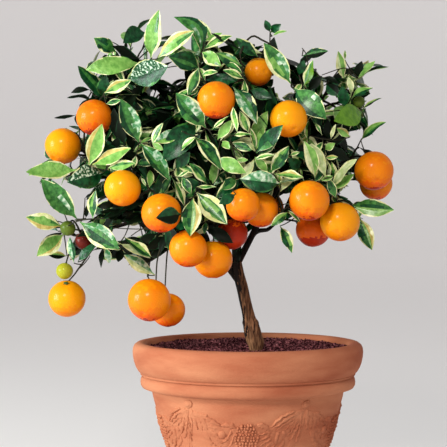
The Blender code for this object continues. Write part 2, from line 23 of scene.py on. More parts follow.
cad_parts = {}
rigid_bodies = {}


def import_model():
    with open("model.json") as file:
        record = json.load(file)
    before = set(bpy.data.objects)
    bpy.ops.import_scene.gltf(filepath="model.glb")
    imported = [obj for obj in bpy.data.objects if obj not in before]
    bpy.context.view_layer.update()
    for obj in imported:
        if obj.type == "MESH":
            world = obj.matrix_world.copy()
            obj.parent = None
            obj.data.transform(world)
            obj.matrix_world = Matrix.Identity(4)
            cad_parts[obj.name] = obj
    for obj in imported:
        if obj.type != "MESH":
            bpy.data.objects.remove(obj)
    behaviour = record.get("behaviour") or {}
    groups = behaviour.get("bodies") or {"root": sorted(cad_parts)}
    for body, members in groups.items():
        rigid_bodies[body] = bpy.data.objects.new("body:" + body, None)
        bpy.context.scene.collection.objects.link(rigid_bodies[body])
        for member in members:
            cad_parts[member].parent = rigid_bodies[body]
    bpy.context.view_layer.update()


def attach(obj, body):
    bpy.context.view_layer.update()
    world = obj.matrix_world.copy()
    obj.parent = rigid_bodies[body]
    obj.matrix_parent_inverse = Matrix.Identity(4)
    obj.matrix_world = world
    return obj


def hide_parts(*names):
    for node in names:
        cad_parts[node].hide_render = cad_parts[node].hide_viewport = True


MM = 0.001
UP = Vector((0.0, 0.0, 1.0))
GOLDEN_ANGLE = math.radians(137.5)
LOG = logging.getLogger("orange_tree")
Colour = tuple[float, float, float]


class Slot(Enum):
    """Material slots of the part's record."""

    TERRACOTTA = "terracotta"
    SOIL = "soil"
    BARK = "bark"
    FOLIAGE = "foliage"


class MottleGroup:
    """The shader node group that clay, soil, bark and peel share."""

    made: bpy.types.NodeTree | None = None

    @classmethod
    def get(cls) -> bpy.types.NodeTree:
        """Return the group that mixes two colours in patches and gives a height."""
        if cls.made is None:
            cls.made = cls.build()
        return cls.made

    @staticmethod
    def build() -> bpy.types.NodeTree:
        """Build the group.

        Returns:
            A node tree with inputs Dark, Light, Patches, Grain, From, To and
            Squeeze, and outputs Colour and Height.
        """
        group = bpy.data.node_groups.new("mottle", "ShaderNodeTree")
        for name, kind in (("Dark", "NodeSocketColor"), ("Light", "NodeSocketColor"),
                           ("Patches", "NodeSocketFloat"), ("Grain", "NodeSocketFloat"),
                           ("From", "NodeSocketFloat"), ("To", "NodeSocketFloat"),
                           ("Squeeze", "NodeSocketVector")):
            group.interface.new_socket(name, in_out="INPUT", socket_type=kind)
        group.interface.new_socket("Colour", in_out="OUTPUT", socket_type="NodeSocketColor")
        group.interface.new_socket("Height", in_out="OUTPUT", socket_type="NodeSocketFloat")
        nodes, links = group.nodes, group.links
        come, go = nodes.new("NodeGroupInput"), nodes.new("NodeGroupOutput")
        place, drawn = nodes.new("ShaderNodeTexCoord"), nodes.new("ShaderNodeVectorMath")
        drawn.operation = "MULTIPLY"
        patches, grain = nodes.new("ShaderNodeTexNoise"), nodes.new("ShaderNodeTexNoise")
        patches.inputs["Detail"].default_value = 6.0
        grain.inputs["Detail"].default_value = 3.0
        spread = nodes.new("ShaderNodeMapRange")
        mix = nodes.new("ShaderNodeMix")
        mix.data_type = "RGBA"
        speck = nodes.new("ShaderNodeMath")
        speck.operation = "MULTIPLY_ADD"
        speck.inputs[1].default_value = 0.35
        links.new(place.outputs["Object"], drawn.inputs[0])
        links.new(come.outputs["Squeeze"], drawn.inputs[1])
        for texture, scale in ((patches, "Patches"), (grain, "Grain")):
            links.new(drawn.outputs["Vector"], texture.inputs["Vector"])
            links.new(come.outputs[scale], texture.inputs["Scale"])
        links.new(patches.outputs["Fac"], spread.inputs["Value"])
        links.new(come.outputs["From"], spread.inputs["From Min"])
        links.new(come.outputs["To"], spread.inputs["From Max"])
        links.new(spread.outputs["Result"], mix.inputs["Factor"])
        links.new(come.outputs["Dark"], mix.inputs[6])
        links.new(come.outputs["Light"], mix.inputs[7])
        links.new(mix.outputs[2], go.inputs["Colour"])
        links.new(patches.outputs["Fac"], speck.inputs[0])
        links.new(grain.outputs["Fac"], speck.inputs[2])
        links.new(speck.outputs["Value"], go.inputs["Height"])
        return group


@dataclass(frozen=True)
class PlainFinish:
    """A finish of one colour all over.

    Attributes:
        name: the material's name.
        colour: linear base colour.
        roughness: surface roughness.
        coat: weight of the clear coat.
        gloss: level of the mirror reflection.
        glow: strength of its own light, in its own colour.
    """

    name: str
    colour: Colour
    roughness: float = 0.5
    coat: float = 0.0
    gloss: float = 0.5
    glow: float = 0.0

    def make(self) -> bpy.types.Material:
        """Return the Blender material of this finish."""
        material = bpy.data.materials.new(self.name)
        material.use_nodes = True
        shader = material.node_tree.nodes["Principled BSDF"]
        shader.inputs["Base Color"].default_value = (*self.colour, 1.0)
        shader.inputs["Roughness"].default_value = self.roughness
        shader.inputs["Coat Weight"].default_value = self.coat
        shader.inputs["Coat Roughness"].default_value = 0.17
        shader.inputs["Specular IOR Level"].default_value = self.gloss
        if self.glow:
            shader.inputs["Emission Color"].default_value = (*self.colour, 1.0)
            shader.inputs["Emission Strength"].default_value = self.glow
        return material


@dataclass(frozen=True)
class MottledFinish(PlainFinish):
    """A finish of two colours in patches, with a fine relief.

    Attributes:
        light: linear colour of the high patches; the base colour is the low ones'.
        patches: patches per metre.
        grain: grains of the fine relief per metre.
        squeeze: how often the pattern repeats along Z against X and Y.
        relief: depth of the fine relief in metres.
        span: noise values between which the colour turns from low to high.
    """

    light: Colour = (0.8, 0.8, 0.8)
    patches: float = 30.0
    grain: float = 900.0
    squeeze: float = 1.0
    relief: float = 0.0003
    span: tuple[float, float] = (0.36, 0.64)

    def make(self) -> bpy.types.Material:
        """Return the Blender material of this finish."""
        material = super().make()
        nodes, links = material.node_tree.nodes, material.node_tree.links
        shader = nodes["Principled BSDF"]
        mottle = nodes.new("ShaderNodeGroup")
        mottle.node_tree = MottleGroup.get()
        mottle.inputs["Dark"].default_value = (*self.colour, 1.0)
        mottle.inputs["Light"].default_value = (*self.light, 1.0)
        mottle.inputs["Patches"].default_value = self.patches
        mottle.inputs["Grain"].default_value = self.grain
        mottle.inputs["From"].default_value, mottle.inputs["To"].default_value = self.span
        mottle.inputs["Squeeze"].default_value = (1.0, 1.0, self.squeeze)
        bump = nodes.new("ShaderNodeBump")
        bump.inputs["Distance"].default_value = self.relief
        links.new(mottle.outputs["Colour"], shader.inputs["Base Color"])
        links.new(mottle.outputs["Height"], bump.inputs["Height"])
        links.new(bump.outputs["Normal"], shader.inputs["Normal"])
        return material


TERRACOTTA = MottledFinish("terracotta", (0.355, 0.100, 0.049), 0.85, 0.0, 0.10, 0.0,
                           (0.495, 0.188, 0.097), 10.0, 400.0, 4.0, 0.0005)
SOIL = MottledFinish("potting_soil", (0.026, 0.003, 0.006), 0.9, 0.0, 0.05, 0.0,
                     (0.420, 0.140, 0.155), 360.0, 1500.0, 1.0, 0.0014, (0.46, 0.68))


def bark_finish(name: str, colour: Colour, light: Colour) -> MottledFinish:
    """Return a finish of bark, streaked lengthwise."""
    return MottledFinish(name, colour, 0.8, 0.0, 0.15, 0.0, light, 560.0, 1300.0, 0.11, 0.0010)


BARK = bark_finish("bark", (0.018, 0.006, 0.003), (0.270, 0.115, 0.054))
# painted shade: near-black bark for faces on the trunk's left and up in the crown, where shade falls
BARK_PAINTED_SHADE = bark_finish("bark_painted_shade", (0.002, 0.001, 0.001), (0.016, 0.007, 0.005))
BARK_PALE = bark_finish("bark_pale", (0.062, 0.022, 0.010), (0.280, 0.135, 0.066))
TWIG = PlainFinish("twig", (0.018, 0.016, 0.007), 0.7, gloss=0.2)
CALYX = PlainFinish("calyx", (0.050, 0.085, 0.020), 0.6, gloss=0.3)


def leaf_finish(name: str, colour: Colour, light: Colour, roughness: float = 0.30, coat: float = 0.22,
                patches: float = 200.0, span: tuple[float, float] = (0.36, 0.64)) -> MottledFinish:
    """Return a leaf's finish: blotched, blistered and glossy."""
    return MottledFinish(name, colour, roughness, coat, 0.2, 0.0, light, patches, 420.0, 1.0, 0.0006, span)


def peel_finish(name: str, colour: Colour, light: Colour) -> MottledFinish:
    """Return a fruit's finish: dimpled and softly glossy."""
    return MottledFinish(name, colour, 0.45, 0.20, 0.05, 0.0, light, 30.0, 1000.0, 1.0, 0.0003)


class Peel(Enum):
    """Ripeness of an orange, with its finish, the first six from the palest to the reddest. The redder steps
    also paint shade on the undersides, the sixth is painted shade for an orange in shadow, and the last is a
    darker painted shade.
    """

    GOLDEN = peel_finish("peel_golden", (0.80, 0.255, 0.002), (0.85, 0.330, 0.003))
    AMBER = peel_finish("peel_amber", (0.78, 0.210, 0.002), (0.84, 0.280, 0.003))
    ORANGE = peel_finish("peel_orange", (0.76, 0.172, 0.002), (0.82, 0.235, 0.003))
    DEEP = peel_finish("peel_deep", (0.74, 0.138, 0.002), (0.80, 0.195, 0.003))
    RUSSET = peel_finish("peel_russet", (0.72, 0.085, 0.004), (0.80, 0.130, 0.005))
    # painted shade: a dark red for the undersides and for an orange in shadow
    PAINTED_SHADE_RED = peel_finish("peel_painted_shade_red", (0.35, 0.019, 0.006), (0.47, 0.035, 0.008))
    TURNING = peel_finish("peel_turning", (0.300, 0.300, 0.012), (0.420, 0.390, 0.030))
    GREEN = peel_finish("peel_green", (0.055, 0.090, 0.010), (0.100, 0.150, 0.018))
    # painted shade: a near-black red for an orange deep in shadow
    SHADED = peel_finish("peel_shaded", (0.110, 0.010, 0.006), (0.170, 0.018, 0.010))


class Hue(Enum):
    """Colours of the leaves' faces, with their finishes."""

    # painted shade: a near-black green for leaves where the crown is in shade
    PAINTED_SHADE = PlainFinish("leaf_painted_shade", (0.0022, 0.0060, 0.0018), 0.5, 0.0, 0.12)
    DEEP = leaf_finish("leaf_deep", (0.001, 0.022, 0.006), (0.006, 0.080, 0.022), 0.35, 0.10)
    MID = leaf_finish("leaf_mid", (0.012, 0.082, 0.014), (0.062, 0.235, 0.044))
    LIGHT = leaf_finish("leaf_light", (0.110, 0.280, 0.045), (0.225, 0.440, 0.095))
    PALE = leaf_finish("leaf_pale", (0.370, 0.475, 0.180), (0.610, 0.675, 0.370), 0.35, 0.2)
    LIME = leaf_finish("leaf_lime", (0.060, 0.170, 0.006), (0.115, 0.260, 0.014), 0.4, 0.2)
    CREAM = leaf_finish("leaf_cream", (0.55, 0.58, 0.22), (0.80, 0.80, 0.47), 0.4, 0.2)
    TAN = leaf_finish("leaf_tan", (0.42, 0.33, 0.08), (0.60, 0.50, 0.16), 0.45, 0.1)
    # painted highlights: greens with white-green patches standing for gloss, the first in broad patches of
    # painted sheen, the second in small painted glints
    PAINTED_SHEEN = leaf_finish("leaf_painted_sheen", (0.060, 0.235, 0.085), (0.68, 0.80, 0.62), 0.3, 0.2, 230.0, (0.44, 0.70))
    PAINTED_GLINTS = leaf_finish("leaf_painted_glints", (0.008, 0.070, 0.022), (0.60, 0.76, 0.58), 0.3, 0.2, 440.0,
                        (0.50, 0.62))


@dataclass(frozen=True)
class Look:
    """How one half of a blade is coloured.

    Attributes:
        inner: hue beside the midrib.
        outer: hue towards the margin.
        rim: hue of the margin.
        reach: share of the half width at which the margin starts, from and to.
        patch: hue that shows here and there in the middle of its length.
    """

    inner: Hue
    outer: Hue
    rim: Hue
    reach: tuple[float, float]
    patch: Hue | None = None


class Tone(Enum):
    """Looks of half a blade, by the letter that the tables use."""

    D = Look(Hue.DEEP, Hue.DEEP, Hue.MID, (0.90, 0.96))
    G = Look(Hue.MID, Hue.MID, Hue.CREAM, (0.74, 0.95), Hue.DEEP)
    M = Look(Hue.MID, Hue.DEEP, Hue.CREAM, (0.88, 0.97))
    # F and W carry patches of painted sheen; S and B are painted highlights all over, and B stands also for pale
    # leaf backs
    F = Look(Hue.MID, Hue.MID, Hue.CREAM, (0.88, 0.97), Hue.PAINTED_SHEEN)
    S = Look(Hue.PAINTED_GLINTS, Hue.PAINTED_GLINTS, Hue.CREAM, (0.90, 0.97))
    L = Look(Hue.LIGHT, Hue.LIGHT, Hue.CREAM, (0.78, 0.96))
    P = Look(Hue.PALE, Hue.PALE, Hue.CREAM, (0.45, 0.78))
    I = Look(Hue.LIME, Hue.LIME, Hue.LIME, (0.9, 0.95))
    C = Look(Hue.MID, Hue.MID, Hue.CREAM, (0.48, 0.66), Hue.LIGHT)
    T = Look(Hue.LIGHT, Hue.TAN, Hue.CREAM, (0.62, 0.90))
    # K is painted shade: near-black halves for leaves that stand in shade
    K = Look(Hue.PAINTED_SHADE, Hue.PAINTED_SHADE, Hue.DEEP, (0.90, 0.96))
    B = Look(Hue.PAINTED_SHEEN, Hue.PAINTED_SHEEN, Hue.CREAM, (0.84, 0.96))
    W = Look(Hue.LIGHT, Hue.MID, Hue.CREAM, (0.72, 0.92), Hue.PAINTED_SHEEN)


def add_mesh(name: str, corners: np.ndarray, faces: list, finishes: list,
             slots: np.ndarray | None = None, smooth: bool = True) -> bpy.types.Object:
    """Make a mesh object at the origin.

    Args:
        name: the object's name.
        corners: vertex places in metres.
        faces: vertex numbers of each face.
        finishes: materials, in slot order.
        slots: material slot of each face.
        smooth: whether faces are shaded smooth.

    Returns:
        The new object, linked to the scene.
    """
    mesh = bpy.data.meshes.new(name)
    mesh.from_pydata(np.asarray(corners, float).tolist(), [], faces)
    for finish in finishes:
        mesh.materials.append(finish)
    if slots is not None:
        mesh.polygons.foreach_set("material_index", np.asarray(slots, np.int32))
    if smooth:
        mesh.shade_smooth()
    mesh.update()
    made = bpy.data.objects.new(name, mesh)
    bpy.context.scene.collection.objects.link(made)
    return made


def recalculate(obj: bpy.types.Object) -> None:
    """Merge an object's doubles and turn its faces outward."""
    shape = bmesh.new()
    shape.from_mesh(obj.data)
    bmesh.ops.remove_doubles(shape, verts=shape.verts, dist=0.00001)
    bmesh.ops.recalc_face_normals(shape, faces=shape.faces)
    shape.to_mesh(obj.data)
    shape.free()


def settle(obj: bpy.types.Object, slot: Slot, *nodes: str) -> bpy.types.Object:
    """Let a finished piece ride on the root body and stand for CAD nodes."""
    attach(obj, "root")
    if nodes:
        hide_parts(*nodes)
    LOG.info("%s: %d faces", obj.name, len(obj.data.polygons))
    return obj


def turned(profile: list[tuple[float, float]], steps: int) -> tuple[np.ndarray, list]:
    """Turn a profile round the Z axis.

    Args:
        profile: radius and height of each ring, in metres.
        steps: corners round a ring.

    Returns:
        The corners and the faces between neighbouring rings.
    """
    angles = np.arange(steps) * math.tau / steps
    rings = [np.stack([r * np.cos(angles), r * np.sin(angles), np.full(steps, z)], 1) for r, z in profile]
    faces = []
    for ring in range(len(profile) - 1):
        for step in range(steps):
            following = (step + 1) % steps
            low, high = ring * steps, (ring + 1) * steps
            faces.append((low + step, low + following, high + following, high + step))
    return np.concatenate(rings), faces


def bezier(start: Vector, leave: Vector, arrive: Vector, end: Vector, count: int) -> list[Vector]:
    """Return points along a cubic curve."""
    points = []
    for index in range(count):
        t = index / (count - 1)
        points.append(start * (1 - t) ** 3 + leave * 3 * t * (1 - t) ** 2
                      + arrive * 3 * t * t * (1 - t) + end * t ** 3)
    return points


@dataclass
class NodeRecipe:
    """A Geometry Nodes tree that is filled in, run once on a mesh and taken off again."""

    name: str

    def __post_init__(self) -> None:
        """Make the empty tree with its mesh input and output."""
        self.tree = bpy.data.node_groups.new(self.name, "GeometryNodeTree")
        self.tree.interface.new_socket("Geometry", in_out="INPUT", socket_type="NodeSocketGeometry")
        self.tree.interface.new_socket("Geometry", in_out="OUTPUT", socket_type="NodeSocketGeometry")
        self.values: dict[str, object] = {}
        self.come = self.add("NodeGroupInput")
        self.go = self.add("NodeGroupOutput")

    def input(self, name: str, kind: str, value: object) -> None:
        """Add a named input and keep the value that it gets."""
        socket = self.tree.interface.new_socket(name, in_out="INPUT", socket_type=kind)
        self.values[socket.identifier] = value

    def add(self, kind: str, **settings: object) -> bpy.types.Node:
        """Add a node and set its options."""
        node = self.tree.nodes.new(kind)
        for key, value in settings.items():
            setattr(node, key, value)
        return node

    def link(self, source: bpy.types.NodeSocket, target: bpy.types.NodeSocket) -> None:
        """Join two sockets."""
        self.tree.links.new(source, target)

    def finish(self, instances: bpy.types.NodeSocket) -> None:
        """End the tree in Realize Instances and Set Material."""
        realize, dress = self.add("GeometryNodeRealizeInstances"), self.add("GeometryNodeSetMaterial")
        self.link(instances, realize.inputs["Geometry"])
        self.link(realize.outputs["Geometry"], dress.inputs["Geometry"])
        self.link(self.come.outputs["Finish"], dress.inputs["Material"])
        self.link(dress.outputs["Geometry"], self.go.inputs[0])

    def run(self, carrier: bpy.types.Object) -> bpy.types.Object:
        """Run the tree on a mesh object, which becomes the plain result.

        Args:
            carrier: the object that the modifier is put on.

        Returns:
            The same object with the result as its mesh and no modifier.
        """
        modifier = carrier.modifiers.new(self.name, "NODES")
        modifier.node_group = self.tree
        for identifier, value in self.values.items():
            modifier[identifier] = value
        graph = bpy.context.evaluated_depsgraph_get()
        graph.update()
        result = bpy.data.meshes.new_from_object(carrier.evaluated_get(graph), depsgraph=graph)
        carrier.modifiers.remove(modifier)
        carrier.data = result
        result.name = carrier.name
        return carrier


@dataclass
class Sight:
    """The photograph's view, which turns its pixels into places and back.

    Attributes:
        eye: the camera's place in millimetres.
        target: the place at the middle of the picture, straight ahead of the eye.
        middle: pixel column and row of the picture's middle.
        scale: millimetres a pixel at the target.
    """

    eye: tuple[float, float, float] = (-25.5, -1600.0, 335.0)
    target: tuple[float, float, float] = (-25.5, 0.0, 313.7)
    middle: float = 223.5
    scale: float = 1.05

    def __post_init__(self) -> None:
        """Work out the view's axes."""
        ahead = Vector(self.target) - Vector(self.eye)
        self.reach = ahead.length
        self.ahead = ahead.normalized()
        self.right = Vector((1.0, 0.0, 0.0))
        self.above = self.right.cross(self.ahead)

    def place(self, px: float, py: float, depth: float) -> Vector:
        """Return the place of a pixel at a depth in millimetres."""
        ray = self.ahead * self.reach + self.right * ((px - self.middle) * self.scale)
        ray += self.above * ((self.middle - py) * self.scale)
        eye = Vector(self.eye)
        return (eye + ray * ((depth - eye.y) / ray.y)) * MM

    def pixel(self, point: Vector) -> tuple[float, float]:
        """Return the pixel at which a place is seen."""
        way = point / MM - Vector(self.eye)
        share = self.reach / way.dot(self.ahead) / self.scale
        return self.middle + way.dot(self.right) * share, self.middle - way.dot(self.above) * share

    def crown_front(self, px: float, py: float) -> float:
        """Return the depth of the crown's front at a pixel, in millimetres."""
        point = self.place(px, py, -80.0) / MM
        spread = ((point.x + 38.0) / 198.0) ** 2 + ((point.z - 385.0) / 154.0) ** 2
        return -122.0 * math.sqrt(max(0.0, 1.0 - spread))


SIGHT = Sight()


@dataclass
class Line:
    """A limb's or twig's centre line with its radii, and the share of it that carries something."""

    points: list[Vector]
    radii: list[float]
    used: float = 0.0

    def at(self, share: float) -> tuple[Vector, Vector, float]:
        """Return the point, direction and radius at a share of the length."""
        place = max(0.0, min(share, 1.0)) * (len(self.points) - 1)
        index = min(int(place), len(self.points) - 2)
        blend = place - index
        point = self.points[index].lerp(self.points[index + 1], blend)
        heading = (self.points[index + 1] - self.points[index]).normalized()
        radius = self.radii[index] + (self.radii[index + 1] - self.radii[index]) * blend
        return point, heading, radius

    def needed(self) -> Line:
        """Return the line cut off where it carries nothing more."""
        last = len(self.points) - 1
        whole = max(1, min(last, math.ceil(self.used * last - 0.001)))
        end, _, radius = self.at(self.used)
        return Line(self.points[:whole] + [end], self.radii[:whole] + [radius])

    def finer(self, count: int) -> Line:
        """Return the same line with more points, rounded at its corners."""
        points, radii = [], []
        last = len(self.points) - 1
        for step in range(count):
            place = step / (count - 1) * last
            index = min(int(place), last - 1)
            t = place - index
            before = self.points[max(index - 1, 0)]
            first, second = self.points[index], self.points[index + 1]
            after = self.points[min(index + 2, last)]
            points.append(0.5 * (2 * first + (second - before) * t
                                 + (2 * before - 5 * first + 4 * second - after) * t * t
                                 + (3 * first - before - 3 * second + after) * t ** 3))
            radii.append(self.radii[index] + (self.radii[index + 1] - self.radii[index]) * t)
        return Line(points, radii)


@dataclass
class TubeSet:
    """Closed tubes gathered into one mesh."""

    corners: list = field(default_factory=list)
    faces: list = field(default_factory=list)

    def add(self, line: Line, sides: int, swell: float = 0.0, grain: float = 60.0,
            knobs: tuple = ()) -> None:
        """Add a tube along a line.

        Args:
            line: centre line and radii.
            sides: corners around the tube.
            swell: depth of the lengthwise ridges, as a share of the radius.
            grain: ridges' noise cells per metre along the line.
            knobs: place, height and spread of each knob or hollow.
        """
        start = len(self.corners)
        side = (line.points[1] - line.points[0]).orthogonal().normalized()
        count = len(line.points)
        for index, (point, radius) in enumerate(zip(line.points, line.radii)):
            ahead = line.points[min(index + 1, count - 1)]
            behind = line.points[max(index - 1, 0)]
            axis = (ahead - behind).normalized()
            side = (side - axis * side.dot(axis)).normalized()
            other = axis.cross(side)
            for corner in range(sides):
                angle = math.tau * corner / sides
                way = side * math.cos(angle) + other * math.sin(angle)
                size = radius
                if swell:
                    round_it = Vector((math.cos(angle) * 2.6, math.sin(angle) * 2.6, point.z * grain))
                    size *= 1.0 + swell * noise.noise(round_it)
                for place, height, spread in knobs:
                    size += height * math.exp(-((point + way * size - place).length / spread) ** 2)
                self.corners.append(point + way * size)
        for ring in range(count - 1):
            low = start + ring * sides
            for corner in range(sides):
                following = (corner + 1) % sides
                self.faces.append((low + corner, low + following, low + sides + following,
                                   low + sides + corner))
        last = start + (count - 1) * sides
        self.faces.append(tuple(start + corner for corner in reversed(range(sides))))
        self.faces.append(tuple(last + corner for corner in range(sides)))

    def build(self, name: str, finish: bpy.types.Material) -> bpy.types.Object:
        """Return the tubes as one object."""
        return add_mesh(name, np.array([tuple(c) for c in self.corners]), self.faces, [finish])


@dataclass(frozen=True)
class Pad:
    """A raised form of the garland along a bent middle line, in the photograph's pixels.

    Attributes:
        path: middle line.
        half: greatest half width.
        tall: height over the wall in millimetres.
        ribs: grooves along it.
        blunt: how full its ends are, from 0, pointed, to 1.
    """

    path: tuple[tuple[float, float], ...]
    half: float
    tall: float = 2.6
    ribs: int = 0
    blunt: float = 0.0


@dataclass
class Garland:
    """One swag of leaves, husks and berries with its knot and ribbon, pressed on the pot's wall."""

    relief: float = 0.62
    wall: tuple = ((67.0, 13.0), (84.5, 79.0), (99.6, 133.0), (100.6, 138.2))
    knot: tuple[float, float] = (188.4, 404.0)
    band: tuple = ((193, 412, 2.0), (202, 421, 6.0), (213, 430, 8.5), (225, 437, 11.5), (236, 440, 14.5),
                   (247, 441, 16.0), (258, 440, 14.5), (270, 437, 11.5), (283, 428, 9.0), (294, 419, 6.5),
                   (302, 411, 2.5))
    pads: tuple[Pad, ...] = tuple(Pad(tuple(zip(row[0:-4:2], row[1:-4:2])), *row[-4:]) for row in (
        (187.6, 408, 186.2, 422, 188.2, 438, 187.4, 462, 2.6, 1.8, 1, 0.7),
        (190.8, 408, 192.0, 424, 191.0, 440, 192.0, 456, 1.3, 1.6, 0, 0.7),
        (191.0, 409, 194.0, 418, 198.0, 430, 2.1, 3.0, 0, 0.0),
        (193.5, 411, 199.0, 420, 203.0, 431, 2.3, 3.2, 1, 0.0),
        (197.0, 413, 203.5, 420, 208.5, 433, 2.8, 3.8, 1, 0.0),
        (199.0, 414, 207.0, 417.5, 215.0, 423, 2.2, 3.8, 1, 0.0),
        (204.0, 417, 212.0, 421, 222.0, 427, 2.6, 4.2, 1, 0.0),
        (208.0, 425, 215.0, 428, 224.0, 430, 2.4, 3.6, 1, 0.0),
        (209.0, 430, 215.0, 434, 220.0, 441, 2.6, 3.8, 1, 0.0),
        (202.0, 430, 208.0, 437, 213.0, 446, 2.8, 3.2, 1, 0.0),
        (221.0, 426, 228.0, 425, 236.0, 428, 2.6, 3.4, 0, 0.0),
        (222.0, 443, 228.0, 438, 232.0, 430, 2.2, 3.8, 0, 0.0),
        (229.0, 447, 233.0, 440, 236.5, 431, 2.2, 3.8, 0, 0.0),
        (212.0, 444, 219.0, 450, 230.0, 453, 3.2, 3.4, 1, 0.0),
        (222.0, 452, 234.0, 458, 246.0, 460, 3.4, 2.8, 1, 0.0),
        (257.0, 426, 263.0, 426, 270.5, 430, 3.0, 3.8, 1, 0.0),
        (257.0, 436, 264.0, 433, 271.0, 432, 1.4, 4.0, 0, 0.0),
        (258.0, 441, 265.0, 437, 272.0, 434.5, 1.4, 4.0, 0, 0.0),
        (259.0, 446, 266.0, 441, 272.5, 437, 1.4, 4.0, 0, 0.0),
        (262.0, 451, 268.0, 445, 273.5, 440, 1.4, 3.8, 0, 0.0),
        (266.0, 455, 271.0, 449, 275.0, 443, 1.4, 3.6, 0, 0.0),
        (270.0, 457, 275.0, 452, 278.0, 446, 1.6, 3.2, 0, 0.0),
        (271.0, 459, 260.0, 461, 250.0, 461, 2.8, 2.6, 1, 0.0),
        (295.0, 411, 283.0, 416.5, 270.5, 427.5, 1.8, 3.8, 0, 0.3),
        (295.0, 414, 284.0, 420, 271.0, 430, 1.5, 4.4, 0, 0.3),
        (295.0, 417.5, 286.0, 423, 274.5, 431.5, 1.4, 3.8, 0, 0.3),
        (278.0, 431, 276.5, 437, 275.0, 444, 3.0, 4.0, 0, 0.6),
        (296.0, 415, 291.0, 423, 284.0, 430, 1.3, 3.4, 0, 0.0),
        (297.5, 418, 293.0, 427, 286.0, 437, 1.4, 3.4, 0, 0.0),
        (299.0, 420, 295.5, 430, 289.5, 441, 1.5, 3.4, 0, 0.0),
        (300.5, 422, 298.5, 432, 295.0, 443, 1.5, 3.0, 0, 0.0),
        (301.5, 409, 300.0, 422, 299.0, 436, 1.2, 2.6, 0, 0.0),
        (284.0, 440, 281.0, 446, 275.0, 451, 2.0, 3.2, 1, 0.0),
    ))
    fruits: tuple = ((222.5, 434.5, 4.4, 5.2), (283.5, 432.5, 2.6, 4.4), (246.0, 463.0, 3.6, 2.8))
    corners: list = field(default_factory=list)
    faces: list = field(default_factory=list)

    def radius(self, height: float) -> float:
        """Return the wall's radius at a height, in millimetres."""
        for (low, z_low), (high, z_high) in zip(self.wall, self.wall[1:]):
            if height <= z_high or z_high == self.wall[-1][1]:
                return low + (high - low) * (height - z_low) / (z_high - z_low)
        return self.wall[-1][0]

    def on_wall(self, px: float, py: float, lift: float) -> Vector:
        """Return the place over the wall that is seen at a pixel."""
        depth = -90.0
        for _ in range(8):
            point = SIGHT.place(px, py, depth) / MM
            depth = -math.sqrt(max(1.0, self.radius(point.z) ** 2 - point.x ** 2))
        point = SIGHT.place(px, py, depth)
        out = Vector((point.x, point.y, 0.0)).normalized()
        return point + (out * 0.97 - UP * 0.22) * (lift * (self.relief if lift > 0.0 else 1.0)) * MM

    def press(self, pad: Pad) -> None:
        """Add one raised form as a closed loft."""
        rows, across = 15, (-1.0, -0.8, -0.45, -0.08, 0.08, 0.45, 0.8, 1.0)
        line = Line([Vector((px, py, 0.0)) for px, py in pad.path], [1.0] * len(pad.path)).finer(rows)
        start, ring = len(self.corners), len(across) + 2
        for row, point in enumerate(line.points):
            share = row / (rows - 1)
            full = (math.sin(math.pi * (0.04 + 0.92 * share)) ** (0.9 - 0.6 * pad.blunt))
            heading = line.points[min(row + 1, rows - 1)] - line.points[max(row - 1, 0)]
            side = Vector((heading.y, -heading.x, 0.0)).normalized() * pad.half * full
            side *= 1.0 + 0.26 * math.sin(share * 21.0 + pad.path[0][1]) * (1.0 - pad.blunt)
            for column in across:
                height = pad.tall * (1.0 - abs(column) ** 2.2) * full ** 0.4
                if pad.ribs and abs(column) < 0.2:
                    height -= 0.28 * pad.tall
                place = point + side * column
                stray = Vector((noise.noise(place * 0.31), noise.noise(place * 0.31 + UP * 7.0), 0.0))
                place += stray * 1.5
                height *= 1.0 + 0.5 * noise.noise(place * 0.5)
                self.corners.append(self.on_wall(place.x, place.y, height - 0.5))
            for column in (0.9, -0.9):
                place = point + side * column
                self.corners.append(self.on_wall(place.x, place.y, -2.0))
        self.loft(start, ring, rows)

    def loft(self, start: int, ring: int, rows: int) -> None:
        """Join rings of corners into a closed form."""
        for row in range(rows - 1):
            low = start + row * ring
            for corner in range(ring):
                following = (corner + 1) % ring
                self.faces.append((low + corner, low + following, low + ring + following, low + ring + corner))
        last = start + (rows - 1) * ring
        self.faces.append(tuple(start + corner for corner in reversed(range(ring))))
        self.faces.append(tuple(last + corner for corner in range(ring)))

    def bed(self) -> None:
        """Add the carved ground between the leaves, along the whole swag."""
        rows, columns, start = 76, 15, len(self.corners)
        line = Line([Vector((px, py, 0.0)) for px, py, _ in self.band],
                    [half for _, _, half in self.band]).finer(rows)
        for row, point in enumerate(line.points):
            heading = line.points[min(row + 1, rows - 1)] - line.points[max(row - 1, 0)]
            side = Vector((heading.y, -heading.x, 0.0)).normalized() * line.radii[row]
            for column in range(columns):
                spread = 2.0 * column / (columns - 1) - 1.0
                place = point + side * spread
                crease = abs(noise.noise(Vector((place.x * 0.42, place.y * 0.42, 3.0))))
                height = (0.6 + 4.4 * crease) * (1.0 - spread ** 6) - 0.6 * abs(spread) ** 6
                self.corners.append(self.on_wall(place.x, place.y, height))
            for spread in (0.9, -0.9):
                place = point + side * spread
                self.corners.append(self.on_wall(place.x, place.y, -2.0))
        self.loft(start, columns + 2, rows)

